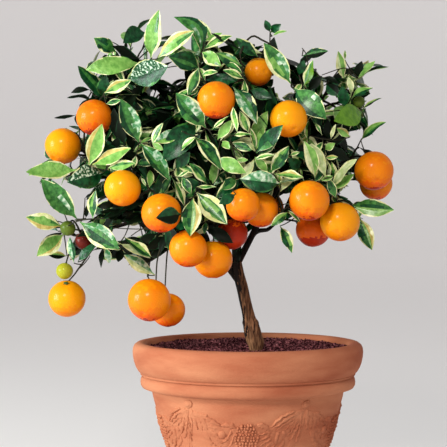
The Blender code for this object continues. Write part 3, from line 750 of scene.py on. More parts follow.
    def boss(self, px: float, py: float, half: float, tall: float, groove: float = 0.0, rows: int = 7,
             sides: int = 14) -> None:
        """Add a round form, with a ring round its middle where groove isn't 0.

        Args:
            px: pixel column of its middle.
            py: pixel row of its middle.
            half: radius in pixels.
            tall: height over the wall in millimetres.
            groove: depth of the ring's groove in millimetres.
            rows: rings from its foot to its top.
            sides: corners round a ring.
        """
        start = len(self.corners)
        for row in range(rows):
            share = row / (rows - 1)
            size = half * math.cos(share * math.pi * 0.48)
            height = tall * math.sin(share * math.pi * 0.5) ** 0.8 - 0.6
            height -= groove * math.exp(-((share - 0.55) / 0.12) ** 2)
            for side in range(sides):
                angle = -math.tau * side / sides
                self.corners.append(self.on_wall(px + size * math.cos(angle), py + size * math.sin(angle),
                                                 height if row else -2.0))
        self.loft(start, sides, rows)

    def berries(self) -> None:
        """Add the cluster of berries at the swag's middle."""
        dice = random.Random(5)
        for row, wide in enumerate((4, 6, 7, 7, 8, 8, 7, 7, 6, 5, 4, 3)):
            for index in range(wide):
                px = 246.5 + (index - (wide - 1) / 2) * 3.1 + dice.uniform(-0.6, 0.6)
                self.boss(px, 425.6 + row * 2.9 + dice.uniform(-0.5, 0.5), dice.uniform(1.4, 1.9),
                          dice.uniform(4.0, 5.6), 0.0, 4, 8)

    def build(self, finish: bpy.types.Material) -> bpy.types.Object:
        """Shape one swag and repeat it round the pot by Geometry Nodes.

        Args:
            finish: the pot's material.

        Returns:
            The five swags as one plain mesh.
        """
        self.bed()
        for pad in self.pads:
            self.press(pad)
        for px, py, half, tall in self.fruits:
            self.boss(px, py, half, tall)
        self.berries()
        self.boss(*self.knot, 4.2, 4.2, 1.2)
        swag = add_mesh("garland", np.array([tuple(c) for c in self.corners]), self.faces, [finish])
        recalculate(swag)
        recipe = NodeRecipe("repeat_round_pot")
        recipe.input("Count", "NodeSocketInt", 5)
        recipe.input("Step Angle", "NodeSocketFloat", math.tau / 5)
        recipe.input("Finish", "NodeSocketMaterial", finish)
        spots = recipe.add("GeometryNodePoints")
        copies = recipe.add("GeometryNodeInstanceOnPoints")
        number, turn = recipe.add("GeometryNodeInputIndex"), recipe.add("ShaderNodeMath", operation="MULTIPLY")
        angles = recipe.add("ShaderNodeCombineXYZ")
        recipe.link(recipe.come.outputs["Count"], spots.inputs["Count"])
        recipe.link(number.outputs["Index"], turn.inputs[0])
        recipe.link(recipe.come.outputs["Step Angle"], turn.inputs[1])
        recipe.link(turn.outputs["Value"], angles.inputs["Z"])
        recipe.link(angles.outputs["Vector"], copies.inputs["Rotation"])
        recipe.link(spots.outputs["Points"] if "Points" in spots.outputs else spots.outputs[0],
                    copies.inputs["Points"])
        recipe.link(recipe.come.outputs["Geometry"], copies.inputs["Instance"])
        recipe.finish(copies.outputs["Instances"])
        return settle(recipe.run(swag), Slot.TERRACOTTA)


@dataclass
class Pot:
    """The turned terracotta pot with its rolled rim, lower band and garland."""

    steps: int = 160
    floor: float = 12.0
    outer: tuple = (
        (106.5, 186.6), (107.3, 188.1), (109.3, 189.3), (112.6, 189.8), (116.3, 189.0), (119.0, 187.0),
        (120.5, 183.8), (120.9, 180.0), (120.5, 175.0), (119.4, 169.4), (117.6, 164.4), (115.4, 160.6),
        (113.6, 158.6), (112.6, 158.1), (112.5, 157.6), (112.9, 157.1), (112.7, 156.3), (111.4, 155.6),
        (110.2, 155.0), (110.3, 154.5), (111.4, 153.7), (112.3, 151.6), (112.7, 148.4), (112.3, 145.4),
        (110.8, 143.1), (107.6, 142.0), (103.6, 141.4), (101.4, 140.4), (100.6, 138.2), (99.6, 133.0),
        (84.5, 79.0), (67.0, 13.0), (68.4, 11.6), (68.9, 9.0), (68.6, 2.5), (67.6, 0.6), (66.0, 0.0),
    )
    inner: tuple = ((56.0, 12.0), (74.0, 75.0), (90.0, 134.0), (102.0, 165.0), (105.2, 181.7),
                    (106.5, 186.6))

    def build(self) -> None:
        """Turn the pot and press the garland on it."""
        profile = [(0.0, self.floor), *self.inner, *self.outer[1:], (0.0, 0.0)]
        corners, faces = turned([(r * MM, z * MM) for r, z in profile], self.steps)
        clay = TERRACOTTA.make()
        pot = add_mesh("terracotta_pot", corners, faces, [clay])
        recalculate(pot)
        pot.data.set_sharp_from_angle(angle=math.radians(42))
        settle(pot, Slot.TERRACOTTA, "pot")
        Garland().build(clay)


@dataclass
class Soil:
    """The potting soil, uneven on top and strewn with crumbs."""

    level: float = 184.6
    radius: float = 105.4
    rings: int = 48
    steps: int = 110
    crumbs: int = 3400
    crumb: float = 1.7

    def height(self, x: float, y: float) -> float:
        """Return the soil's height at a place, all in millimetres."""
        place = Vector((x, y, 0.0))
        lump = noise.noise(place * 0.06) * 1.6 + noise.noise(place * 0.19) * 1.3
        edge = max(0.0, place.length / self.radius - 0.6) / 0.4
        basin = 6.0 * math.exp(-((place - Vector((8.0, 0.0, 0.0))).length / 38.0) ** 2)
        return self.level + lump - 0.9 * edge - basin

    def build(self) -> None:
        """Shape the soil's top, close it below and strew the crumbs."""
        profile = [(self.radius * ring / self.rings, 0.0) for ring in range(self.rings + 1)]
        corners, faces = turned(profile + [(self.radius * 0.97, -12.0), (0.0, -12.0)], self.steps)
        top = (self.rings + 1) * self.steps
        for index, corner in enumerate(corners):
            corner[2] = self.height(corner[0], corner[1]) if index < top else self.level - 12.0
        finish = SOIL.make()
        soil = add_mesh("potting_soil", corners * MM, faces, [finish])
        recalculate(soil)
        settle(soil, Slot.SOIL, "soil")
        self.strew(finish)

    def strew(self, finish: bpy.types.Material) -> None:
        """Strew crumbs over the soil by Geometry Nodes, from a fixed seed."""
        profile = [(3.0 + (self.radius - 4.5) * ring / 24, 0.0) for ring in range(25)]
        corners, faces = turned(profile, 72)
        for corner in corners:
            corner[2] = self.height(corner[0], corner[1]) + 0.2
        carrier = add_mesh("soil_crumbs", corners * MM, faces, [finish])
        recipe = NodeRecipe("strew_crumbs")
        recipe.input("Density", "NodeSocketFloat", self.crumbs / (math.pi * (self.radius * MM) ** 2))
        recipe.input("Size", "NodeSocketFloat", self.crumb * MM)
        recipe.input("Seed", "NodeSocketInt", 7)
        recipe.input("Finish", "NodeSocketMaterial", finish)
        spread = recipe.add("GeometryNodeDistributePointsOnFaces")
        crumb = recipe.add("GeometryNodeMeshIcoSphere")
        crumb.inputs["Subdivisions"].default_value = 1
        copies = recipe.add("GeometryNodeInstanceOnPoints")
        turn = recipe.add("FunctionNodeRandomValue", data_type="FLOAT_VECTOR")
        turn.inputs[1].default_value = (math.tau, math.tau, math.tau)
        size = recipe.add("FunctionNodeRandomValue", data_type="FLOAT_VECTOR")
        size.inputs[0].default_value = (0.25, 0.25, 0.25)
        size.inputs[1].default_value = (1.3, 1.0, 0.8)
        recipe.link(recipe.come.outputs["Geometry"], spread.inputs["Mesh"])
        recipe.link(recipe.come.outputs["Density"], spread.inputs["Density"])
        recipe.link(recipe.come.outputs["Seed"], spread.inputs["Seed"])
        recipe.link(recipe.come.outputs["Size"], crumb.inputs["Radius"])
        recipe.link(spread.outputs["Points"], copies.inputs["Points"])
        recipe.link(crumb.outputs["Mesh"], copies.inputs["Instance"])
        for values, target in ((turn, "Rotation"), (size, "Scale")):
            recipe.link(recipe.come.outputs["Seed"], values.inputs["Seed"])
            recipe.link(values.outputs[0], copies.inputs[target])
        recipe.finish(copies.outputs["Instances"])
        settle(recipe.run(carrier), Slot.SOIL)


@dataclass(frozen=True)
class Mass:
    """A space of the crown with its oranges and furthest leaf tips, in millimetres."""

    name: str
    centre: tuple
    radii: tuple
    fruits: tuple = ()
    tips: tuple = ()
    seed: int = 0


@dataclass(frozen=True)
class Bough:
    """A limb from a share of its parent's length to the edge of one mass."""

    mass: str
    parent: str
    share: float
    radius: float
    lift: float = 0.25
    follow: float = 0.55


TRUNK_LINE = (
    (8.8, 0.0, 172.0, 10.8), (8.4, 0.0, 183.5, 14.2), (7.2, 0.0, 190.0, 15.6), (6.4, 0.0, 196.0, 16.4),
    (4.9, 0.6, 201.5, 16.6), (3.0, 1.0, 207.0, 15.6), (1.6, 1.0, 214.0, 13.6), (-0.4, 0.8, 223.0, 12.4),
    (-2.8, 0.2, 233.0, 12.1), (-5.2, -0.2, 243.6, 11.9), (-8.0, -0.6, 254.0, 11.6), (-10.6, -0.6, 265.0, 11.6),
    (-12.4, 0.0, 278.0, 10.4),
)
TRUNK_KNOBS = (
    (SIGHT.place(257.0, 321.8, -3.0), 0.0022, 0.0034), (SIGHT.place(257.5, 328.0, -4.0), 0.0012, 0.005),
    (SIGHT.place(242.0, 322.5, -2.0), 0.0015, 0.0026), (SIGHT.place(246.5, 336.0, -1.0), 0.0016, 0.008),
    (SIGHT.place(262.0, 342.0, -2.0), 0.0028, 0.006), (SIGHT.place(247.0, 321.5, -8.0), -0.0010, 0.0025),
    (SIGHT.place(250.0, 325.0, -8.0), -0.0010, 0.0025), (SIGHT.place(253.5, 329.0, -8.0), -0.0010, 0.0025),
    (SIGHT.place(244.0, 300.0, -6.0), 0.0008, 0.004), (SIGHT.place(246.0, 284.0, -6.0), 0.0010, 0.005),
)

MASSES = (
    Mass("left_low", (-178, -16, 302), (58, 58, 60),
         ((-186, -30, 236, 19.3), (-183, -45, 308, 7.9), (-190, -34, 266, 8.7), (-169, -30, 296, 9.5)),
         ((-229, -20, 321), (-218, -25, 281)), 11),
    Mass("left_mid", (-170, -15, 388), (64, 62, 52), ((-189, -40, 392, 18.6),),
         ((-230, -30, 367), (-216, -5, 358), (-187, -20, 440)), 12),
    Mass("top_left", (-118, -15, 470), (66, 60, 62), ((-153, -70, 418, 18.5),),
         ((-158, -20, 510), (-93, -20, 537), (-170, -40, 474)), 13),
    Mass("top_mid", (-20, -10, 474), (62, 60, 52), ((10, -55, 465, 14.2),),
         ((23, -10, 524), (-58, -40, 508), (14, -30, 502)), 15),
    Mass("top_right", (82, -8, 452), (66, 60, 52), ((112, -45, 436, 6.1),),
         ((81, -30, 490), (100, -20, 493), (147, -15, 476), (138, -20, 442)), 16),
    Mass("right_mid", (106, -14, 382), (50, 60, 46), ((126, -50, 366, 19.9), (134, -6, 356, 17.2)),
         ((140, -20, 417),), 18),
    Mass("right_low", (86, -52, 336), (68, 58, 50),
         ((57, -105, 334, 19.9), (89, -80, 314, 19.9), (65, -43, 306, 17.7)),
         ((149, -48, 328), (122, -60, 288)), 19),
    Mass("front_left", (-114, -72, 342), (56, 58, 56), ((-123, -105, 346, 18.1), (-84, -120, 322, 19.5)),
         (), 20),
    Mass("front_top", (-62, -76, 420), (62, 54, 54), ((-32, -110, 430, 18.6),), (), 22),
    Mass("front_right", (26, -72, 396), (58, 54, 54), ((37, -100, 413, 18.4),), (), 25),
    Mass("front_low", (-34, -76, 316), (62, 54, 54),
         ((-59, -110, 288, 18.7), (-36, -78, 277, 19.5), (-7, -120, 330, 16.6),
          (12, -85, 326, 17.6), (-17, -70, 302, 15.9)), (), 23),
    Mass("low_left", (-108, -52, 272), (48, 54, 46), ((-97, -100, 238, 21.3), (-81, -64, 227, 17.4)),
         ((-129, -60, 268),), 26),
    Mass("inner", (-66, 4, 384), (60, 54, 58), (), (), 27),
    Mass("back_left", (-132, 78, 396), (62, 62, 60), ((-132, 112, 400, 19.0),), ((-196, 82, 420),), 28),
    Mass("back_top", (-48, 78, 462), (66, 60, 56), ((-72, 120, 446, 18.5),), ((-60, 72, 520),), 29),
    Mass("back_mid", (-40, 120, 382), (60, 56, 56), ((-20, 154, 366, 19.2), (-66, 152, 350, 18.4)),
         ((-45, 177, 395),), 30),
    Mass("back_right", (58, 88, 410), (64, 60, 60), ((70, 126, 396, 19.0),), ((104, 107, 440),), 31),
    Mass("back_low_left", (-104, 78, 312), (60, 60, 50), ((-108, 102, 330, 19.5), (-74, 118, 303, 18.0)),
         (), 32),
    Mass("back_low_right", (42, 86, 326), (62, 60, 50), ((66, 114, 334, 19.6), (24, 108, 330, 18.2)),
         ((112, 82, 340),), 33),
)

BOUGHS = (
    Bough("top_mid", "trunk", 1.0, 4.3, 0.6),
    Bough("left_mid", "trunk", 0.80, 4.0, 0.1),
    Bough("top_right", "trunk", 0.953, 3.7, 0.0, 0.0),
    Bough("front_top", "top_mid", 0.16, 3.1),
    Bough("back_mid", "top_mid", 0.20, 3.2),
    Bough("front_left", "left_mid", 0.30, 2.9),
    Bough("left_low", "left_mid", 0.60, 2.7, 0.0),
    Bough("top_left", "left_mid", 0.42, 3.0, 0.4),
    Bough("back_low_left", "left_mid", 0.22, 2.9),
    Bough("low_left", "front_left", 0.35, 2.5, 0.0),
    Bough("right_low", "top_right", 0.60, 2.8, 0.1),
    Bough("right_mid", "top_right", 0.52, 2.7, 0.1),
    Bough("front_right", "top_right", 0.36, 2.8),
    Bough("back_low_right", "top_right", 0.16, 2.9),
    Bough("front_low", "front_top", 0.25, 2.6, 0.0),
    Bough("inner", "top_mid", 0.40, 2.6),
    Bough("back_top", "top_mid", 0.60, 2.9),
    Bough("back_left", "back_mid", 0.38, 2.9),
    Bough("back_right", "back_mid", 0.30, 2.9),
)


def mass_radius(mass: Mass, way: Vector) -> float:
    """Return how far a mass reaches from its centre in a direction."""
    return 1.0 / math.sqrt(sum((way[axis] / (mass.radii[axis] * MM)) ** 2 for axis in range(3)))


@dataclass
class Limbs:
    """The trunk and the boughs that carry the masses."""

    tip_radius: float = 1.9 * MM
    lines: dict[str, Line] = field(default_factory=dict)

    def grow(self) -> None:
        """Lay out the centre lines by the source's rule."""
        self.lines["trunk"] = Line([Vector(row[:3]) * MM for row in TRUNK_LINE],
                                   [row[3] / 2 * MM for row in TRUNK_LINE])
        masses = {mass.name: mass for mass in MASSES}
        for bough in BOUGHS:
            self.lines[bough.mass] = self.bough_line(bough, masses[bough.mass])

    def bough_line(self, bough: Bough, mass: Mass) -> Line:
        """Return a bough's line from its parent to the edge of its mass."""
        root, heading, parent_radius = self.lines[bough.parent].at(bough.share)
        centre = Vector(mass.centre) * MM
        toward = (centre - root).normalized()
        arrive = (toward * 0.8 + UP * bough.lift * 0.4).normalized()
        end = centre - arrive * mass_radius(mass, arrive) * 0.72
        span = (end - root).length
        leave = (heading * bough.follow + toward * 0.6 + UP * bough.lift).normalized()
        points = bezier(root, root + leave * span * 0.36, end - arrive * span * 0.3, end, 6)
        thick = min(bough.radius * MM, parent_radius * 0.92)
        radii = [thick + (self.tip_radius - thick) * index / 5 for index in range(6)]
        return Line(points, radii)

    def build(self) -> None:
        """Shape the trunk and boughs as one barked mesh."""
        tubes = TubeSet()
        tubes.add(self.lines["trunk"].finer(100), 48, 0.08, 30.0, TRUNK_KNOBS)
        for bough in BOUGHS:
            tubes.add(self.lines[bough.mass].finer(26), 14, 0.08, 40.0)
        limbs = tubes.build("trunk_and_boughs", BARK.make())
        for finish in (BARK_PAINTED_SHADE, BARK_PALE):
            limbs.data.materials.append(finish.make())
        for face in limbs.data.polygons:
            face.material_index = self.bark(face.center, face.normal)
        settle(limbs, Slot.BARK, "trunk", *["bough_" + bough.mass for bough in BOUGHS])

    def bark(self, place: Vector, normal: Vector) -> int:
        """Return a face's finish: painted shade on the left and aloft, pale at the foot and along a scar."""
        px, py = SIGHT.pixel(place)
        stray = noise.noise(Vector((place.x * 420.0, place.y * 420.0, place.z * 90.0)))
        if normal.y < 0.0 and 319.0 < py < 331.0 and abs((px - 246.0) * 0.78 - (py - 320.5) * 0.62) < 0.8:
            return 2
        # painted shade: faces turned to the left, and more of them higher up, take the near-black bark
        limit = 30.0 * max(0.0, place.z - 0.236) - 16.0 * max(0.0, 0.215 - place.z) - 0.52
        if normal.x + 0.5 * stray < limit:
            return 1
        return 2 if place.z < 0.196 + 0.016 * stray else 0


@dataclass(frozen=True)
class SeenLeaf:
    """A leaf that shows in the photograph, in its pixels.

    Attributes:
        base: where the blade starts.
        tip: where it ends.
        width: how wide it looks.
        tones: letters of its left and right halves, looking from base to tip.
        nearer: millimetres that it stands nearer to the camera than the crown's front.
        bend: sideways curve to the right, as a share of its length.
    """

    base: tuple[float, float]
    tip: tuple[float, float]
    width: float
    tones: str
    nearer: float = 0.0
    bend: float = 0.0


# Halves lettered K are painted shade: near-black leaves where the crown is in shade.
SEEN_LEAVES = tuple(SeenLeaf(row[0:2], row[2:4], *row[4:]) for row in (
    (146, 33, 123, 43, 17, "DD", 0, 0.12), (116, 52, 94, 38, 15, "GG"), (140, 60, 112, 46, 9, "KK"),
    (140, 64, 86, 70, 19, "LL", 6), (127, 80, 168, 66, 27, "SD", 4), (107, 100, 78, 66, 16, "DM"),
    (102, 97, 106, 75, 14, "DD"), (90, 90, 71, 93, 6, "KK"), (92, 100, 67, 98, 4, "KK"),
    (76, 115, 54, 118, 4, "KK"), (104, 93, 131, 80, 12, "TC", 4), (117, 98, 130, 122, 6, "KG"),
    (106, 104, 121, 100, 6, "GG"), (151, 59, 159, 10, 18, "LC", 4), (158, 58, 194, 31, 16, "TC", 2),
    (200, 55, 174, 17, 17, "FM", 4, 0.24), (199, 69, 169, 57, 20, "MD", 2, 0.08),
    (203, 50, 232, 36, 8, "CC"), (204, 41, 222, 33, 6, "LL"), (241, 50, 211, 33, 4, "KK", 18),
    (202, 52, 221, 66, 14, "LC"), (242, 66, 216, 53, 12, "GW"), (222, 62, 242, 73, 7, "GG"),
    (244, 79, 223, 70, 8, "CC"), (206, 80, 238, 80, 12, "DD", -4), (258, 57, 236, 38, 12, "DG"),
    (201, 75, 218, 72, 6, "CC"), (199, 67, 188, 95, 12, "GC", 4), (199, 88, 188, 95, 6, "GG"),
    (206, 128, 176, 93, 22, "GF", 6), (233, 87, 257, 124, 16, "MB", 4), (250, 90, 272, 98, 12, "DD"),
    (237, 132, 233, 107, 7, "CC", 8), (249, 133, 240, 111, 10, "CC"), (270, 32, 265, 20, 7, "DD"),
    (271, 32, 281, 24, 9, "DD"), (272, 36, 287, 31, 3, "LL"), (291, 84, 264, 43, 20, "CF", 6),
    (302, 56, 328, 51, 10, "MK"), (304, 87, 313, 60, 9, "CI", 2), (299, 75, 304, 60, 9, "DD"),
    (294, 88, 326, 119, 23, "FM", 8), (308, 90, 322, 76, 10, "KK"), (318, 78, 341, 85, 4, "KK"),
    (344, 80, 338, 51, 10, "PL"), (345, 60, 345, 50, 3, "CC"), (326, 84, 340, 96, 12, "KD"),
    (356, 78, 362, 61, 9, "KK"), (358, 78, 375, 61, 6, "LL"), (355, 80, 389, 67, 4, "KL"),
    (353, 92, 348, 77, 7, "PP"), (352, 98, 370, 93, 3, "KD"), (350, 100, 373, 88, 6, "LD"),
    (345, 107, 342, 86, 12, "DD"), (362, 110, 382, 98, 3, "CK"), (362, 112, 334, 121, 23, "II", 6),
    (139, 143, 121, 99, 20, "MF", 6), (140, 143, 169, 180, 16, "FM", 6), (89, 166, 102, 124, 18, "TL", 12),
    (92, 165, 131, 148, 13, "TL", 6), (77, 170, 26, 172, 18, "LL", 2), (104, 173, 67, 182, 25, "DS", 8),
    (77, 219, 41, 179, 22, "GF", 4), (93, 219, 96, 190, 10, "CG", 2), (86, 218, 87, 205, 5, "KK"),
    (85, 198, 93, 193, 3, "KK"), (62, 226, 26, 217, 17, "TC", 4), (64, 234, 37, 256, 18, "TL", 4),
    (67, 256, 47, 254, 8, "KT"), (80, 222, 119, 249, 22, "FG", 8), (119, 243, 150, 258, 9, "PP", 4),
    (155, 275, 124, 255, 13, "PB"), (124, 237, 151, 257, 9, "CD"), (74, 263, 70, 237, 8, "BD"),
    (78, 262, 99, 243, 8, "DD"), (103, 246, 101, 268, 5, "KK"), (106, 248, 110, 263, 7, "BB"),
    (122, 248, 118, 262, 9, "KK"), (108, 168, 135, 163, 10, "CL", 6), (141, 177, 146, 186, 3, "CC"),
    (136, 156, 133, 168, 6, "CC"), (152, 145, 163, 123, 8, "CC"), (182, 131, 155, 142, 13, "LB", 4),
    (196, 120, 163, 162, 26, "DD"), (152, 143, 163, 150, 7, "LL"), (205, 130, 219, 157, 10, "KC"),
    (212, 130, 229, 116, 4, "CC", 6), (217, 140, 232, 120, 10, "LL"), (231, 136, 252, 135, 4, "CC"),
    (222, 141, 230, 149, 8, "LL"), (232, 143, 252, 150, 9, "GG"), (256, 153, 283, 125, 15, "DG"),
    (258, 155, 277, 140, 10, "DG"), (256, 150, 250, 128, 6, "CC"), (270, 173, 289, 146, 13, "CG"),
    (268, 172, 255, 157, 9, "LL"), (290, 155, 300, 152, 4, "CC"), (300, 168, 288, 158, 12, "DD"),
    (315, 178, 304, 141, 14, "PL", 4), (326, 178, 311, 143, 12, "PP"), (325, 150, 335, 143, 8, "LL"),
    (350, 160, 325, 148, 12, "KK"), (325, 158, 338, 157, 5, "TC"), (332, 178, 331, 161, 13, "KC", 2),
    (334, 176, 321, 180, 6, "LL", 2), (332, 188, 357, 159, 9, "PP", 2), (333, 190, 354, 174, 9, "LL"),
    (336, 198, 328, 178, 9, "GG"), (361, 141, 386, 122, 8, "LM"), (350, 137, 337, 128, 8, "LT"),
    (308, 141, 309, 120, 7, "CK"), (327, 140, 328, 119, 9, "KK"), (331, 139, 336, 124, 4, "PP", 2),
    (312, 120, 322, 135, 3, "CC"), (350, 206, 394, 210, 18, "GL", 4), (336, 203, 334, 192, 7, "GG"),
    (216, 158, 246, 173, 15, "LL", 2), (194, 137, 221, 170, 14, "GG", 2), (178, 152, 195, 137, 6, "CC", 4),
    (176, 168, 190, 152, 12, "DD"), (207, 184, 189, 163, 10, "CG"), (196, 187, 216, 187, 4, "CC"),
    (178, 177, 189, 170, 4, "CC"), (182, 177, 191, 194, 9, "GG"), (171, 175, 185, 207, 7, "CC"),
    (196, 192, 227, 224, 22, "CC", 8), (193, 197, 190, 236, 20, "TG", 10), (241, 178, 216, 198, 14, "DG"),
    (236, 194, 219, 204, 10, "DD", 6), (281, 184, 240, 179, 22, "DB", 4), (236, 160, 248, 160, 5, "LL"),
    (254, 160, 275, 155, 5, "CC"), (274, 174, 303, 177, 8, "TC", 4), (277, 184, 302, 178, 7, "PW", 2),
    (288, 212, 271, 226, 9, "GL"), (288, 210, 300, 222, 4, "CC"), (280, 226, 292, 253, 11, "CG", 2),
    (359, 217, 372, 250, 16, "TG", 2), (181, 214, 156, 218, 17, "KD", 8), (148, 205, 110, 221, 7, "KK"),
    (146, 211, 103, 219, 6, "KK"), (150, 199, 118, 213, 7, "KK"), (141, 222, 112, 213, 6, "KK"),
    (154, 217, 125, 226, 7, "KK"), (128, 219, 97, 216, 5, "KK"), (117, 140, 114, 108, 11, "KK", -6),
    (125, 146, 119, 118, 10, "KK", -8), (133, 152, 127, 128, 9, "KK", -8), (168, 236, 146, 250, 11, "KK"),
    (167, 246, 150, 258, 9, "KK"), (158, 233, 137, 244, 8, "KK"), (169, 232, 160, 254, 8, "KK"),
    (130, 222, 99, 212, 7, "KK"), (143, 214, 122, 222, 8, "KK"), (238, 264, 241, 246, 6, "KK", -45),
    (238, 262, 236, 244, 7, "KK", -45), (208, 228, 233, 243, 13, "KK", 4),
    (213, 186, 194, 150, 8, "KK", -4), (141, 238, 119, 246, 10, "KK", 2), (148, 248, 128, 240, 9, "KK", 2),
    (150, 262, 138, 246, 9, "KK"), (100, 226, 84, 234, 8, "KK"), (132, 200, 112, 207, 9, "KK", -4), (152, 246, 128, 252, 8, "KK"),
    (97, 232, 77, 237, 6, "KK"), (300, 162, 302, 144, 10, "KK", -4), (111, 153, 120, 137, 9, "KK", -6),
    (116, 204, 97, 207, 8, "KK"), (135, 206, 122, 216, 9, "KK"), (90, 256, 78, 246, 6, "KK"),
    (206, 222, 204, 234, 6, "GG", 4), (236, 178, 222, 190, 12, "GG"),
))


@dataclass(frozen=True)
class SeenTwig:
    """A bare twig that shows in the photograph, in its pixels, from its end to its root.

    Attributes:
        path: its points.
        radius: its thickness halved, in millimetres.
        fruit: middle of the orange at its end, if it carries one.
    """

    path: tuple[tuple[float, float], ...]
    radius: float = 0.8
    fruit: tuple[float, float] | None = None


SEEN_TWIGS = (
    SeenTwig(((270, 44), (262, 40), (253, 36), (245, 43), (240, 54)), 1.2),
    SeenTwig(((270, 33), (270, 44), (271, 58))), SeenTwig(((322, 75), (345, 68), (352, 76)), 0.6),
    SeenTwig(((326, 112), (350, 109)), 0.6), SeenTwig(((302, 48), (306, 54), (308, 64)), 0.6),
    SeenTwig(((78, 154), (89, 166), (104, 170)), 0.7),
    SeenTwig(((155, 277), (157, 262), (160, 250)), 0.9, (149.3, 300.0)),
    SeenTwig(((162, 287), (167, 255), (170, 244)), 0.9, (168.0, 310.0)),
    SeenTwig(((67, 283), (74, 275), (79, 268), (97, 243)), 1.0, (66.9, 298.6)),
    SeenTwig(((75, 220), (92, 219), (110, 218)), 0.9), SeenTwig(((113, 228), (134, 229), (153, 229)), 0.6),
    SeenTwig(((131, 236), (140, 230), (152, 226)), 0.6), SeenTwig(((278, 195), (283, 212)), 0.6),
    SeenTwig(((277, 215), (290, 205)), 0.6), SeenTwig(((62, 229), (78, 221), (92, 219)), 0.8),
)


@dataclass(frozen=True)
class SeenOrange:
    """How an orange in the photograph looks.

    Attributes:
        middle: pixel of its middle.
        peel: its ripeness, or painted shade where it hangs in shadow.
        navel: pixel of the navel, where it shows.
        stem: pixel of the stem's hollow, where it shows.
    """

    middle: tuple[float, float]
    peel: Peel
    navel: tuple[float, float] | None = None
    stem: tuple[float, float] | None = None


SEEN_ORANGES = (
    SeenOrange((94.5, 117.6), Peel.DEEP), SeenOrange((62.9, 146.0), Peel.GOLDEN),
    SeenOrange((122.6, 188.0), Peel.GOLDEN), SeenOrange((161.4, 213.0), Peel.ORANGE),
    SeenOrange((216.3, 100.0), Peel.ORANGE, navel=(215, 115)),
    SeenOrange((258.7, 71.9), Peel.AMBER, navel=(265, 72)), SeenOrange((288.6, 118.8), Peel.GOLDEN),
    SeenOrange((374.0, 170.7), Peel.ORANGE, navel=(376, 181)), SeenOrange((376.0, 184.0), Peel.ORANGE),
    SeenOrange((309.4, 200.5), Peel.ORANGE, navel=(308, 211)), SeenOrange((340.0, 221.9), Peel.GOLDEN),
    SeenOrange((313.0, 230.0), Peel.RUSSET), SeenOrange((243.0, 205.0), Peel.ORANGE),
    SeenOrange((261.0, 210.0), Peel.ORANGE), SeenOrange((232.0, 234.0), Peel.PAINTED_SHADE_RED),
    SeenOrange((188.3, 248.6), Peel.ORANGE), SeenOrange((213.0, 259.3), Peel.AMBER),
    SeenOrange((149.3, 300.0), Peel.ORANGE, navel=(143, 314)), SeenOrange((168.0, 310.0), Peel.ORANGE),
    SeenOrange((66.9, 298.6), Peel.GOLDEN, stem=(67, 282)), SeenOrange((67.9, 228.3), Peel.GREEN),
    SeenOrange((64.6, 271.0), Peel.TURNING), SeenOrange((359.0, 102.0), Peel.GREEN),
    SeenOrange((84.0, 241.0), Peel.SHADED),
)

CROWN_FILL = (
    (100, 78), (92, 92), (112, 100), (118, 120), (110, 135), (112, 150), (130, 160), (140, 172), (142, 190),
    (122, 204), (106, 206), (96, 218), (110, 228), (120, 235), (135, 240), (150, 236), (156, 250), (165, 255),
    (170, 240), (185, 235), (205, 235), (215, 240), (230, 248), (238, 246), (247, 226), (262, 222), (278, 220),
    (285, 205), (300, 215), (320, 210), (335, 195), (350, 180), (358, 165), (360, 150), (362, 135), (366, 118),
    (362, 100), (372, 88), (362, 75), (352, 72), (345, 58), (335, 60), (300, 62), (275, 60), (262, 50),
    (245, 50), (232, 60), (200, 70), (185, 80), (168, 85), (135, 60), (112, 60),
)
SKY_GAPS = (
    ((166, 62), (180, 66), (184, 75), (182, 84), (168, 84)),
    ((276, 78), (290, 84), (292, 95), (283, 98), (274, 92)),
    ((308, 86), (326, 86), (336, 100), (336, 110), (328, 112), (321, 99), (312, 91)),
    ((315, 60), (340, 57), (339, 79), (326, 76), (316, 72)), ((152, 92), (160, 92), (160, 103), (152, 103)),
    ((104, 137), (114, 137), (114, 147), (104, 147)), ((117, 139), (123, 139), (123, 147), (117, 147)),
    ((100, 190), (109, 190), (109, 212), (100, 212)),
    ((113, 228), (153, 225), (152, 234), (130, 240), (118, 233)),
    ((314, 121), (321, 121), (321, 138), (314, 138)), ((346, 134), (361, 134), (361, 151), (346, 151)),
    ((279, 194), (289, 194), (289, 209), (279, 209)), ((344, 184), (359, 184), (359, 201), (344, 201)),
)


@dataclass
class LeafShape:
    """The blade's outline and how it is divided.

    Attributes:
        rows: divisions along the blade.
        length: common length in metres.
        petiole: share of the length that is the leaf's stalk.
    """

    rows: int = 9
    length: float = 47 * MM
    petiole: float = 0.08

    def halves(self) -> np.ndarray:
        """Return the half width at each row as a share of the full half width."""
        blade = np.clip((np.arange(self.rows + 1) / self.rows - self.petiole) / (1.0 - self.petiole), 0.0, 1.0)
        return np.maximum(np.sin(math.pi * blade ** 0.92) ** 0.86, 0.035)


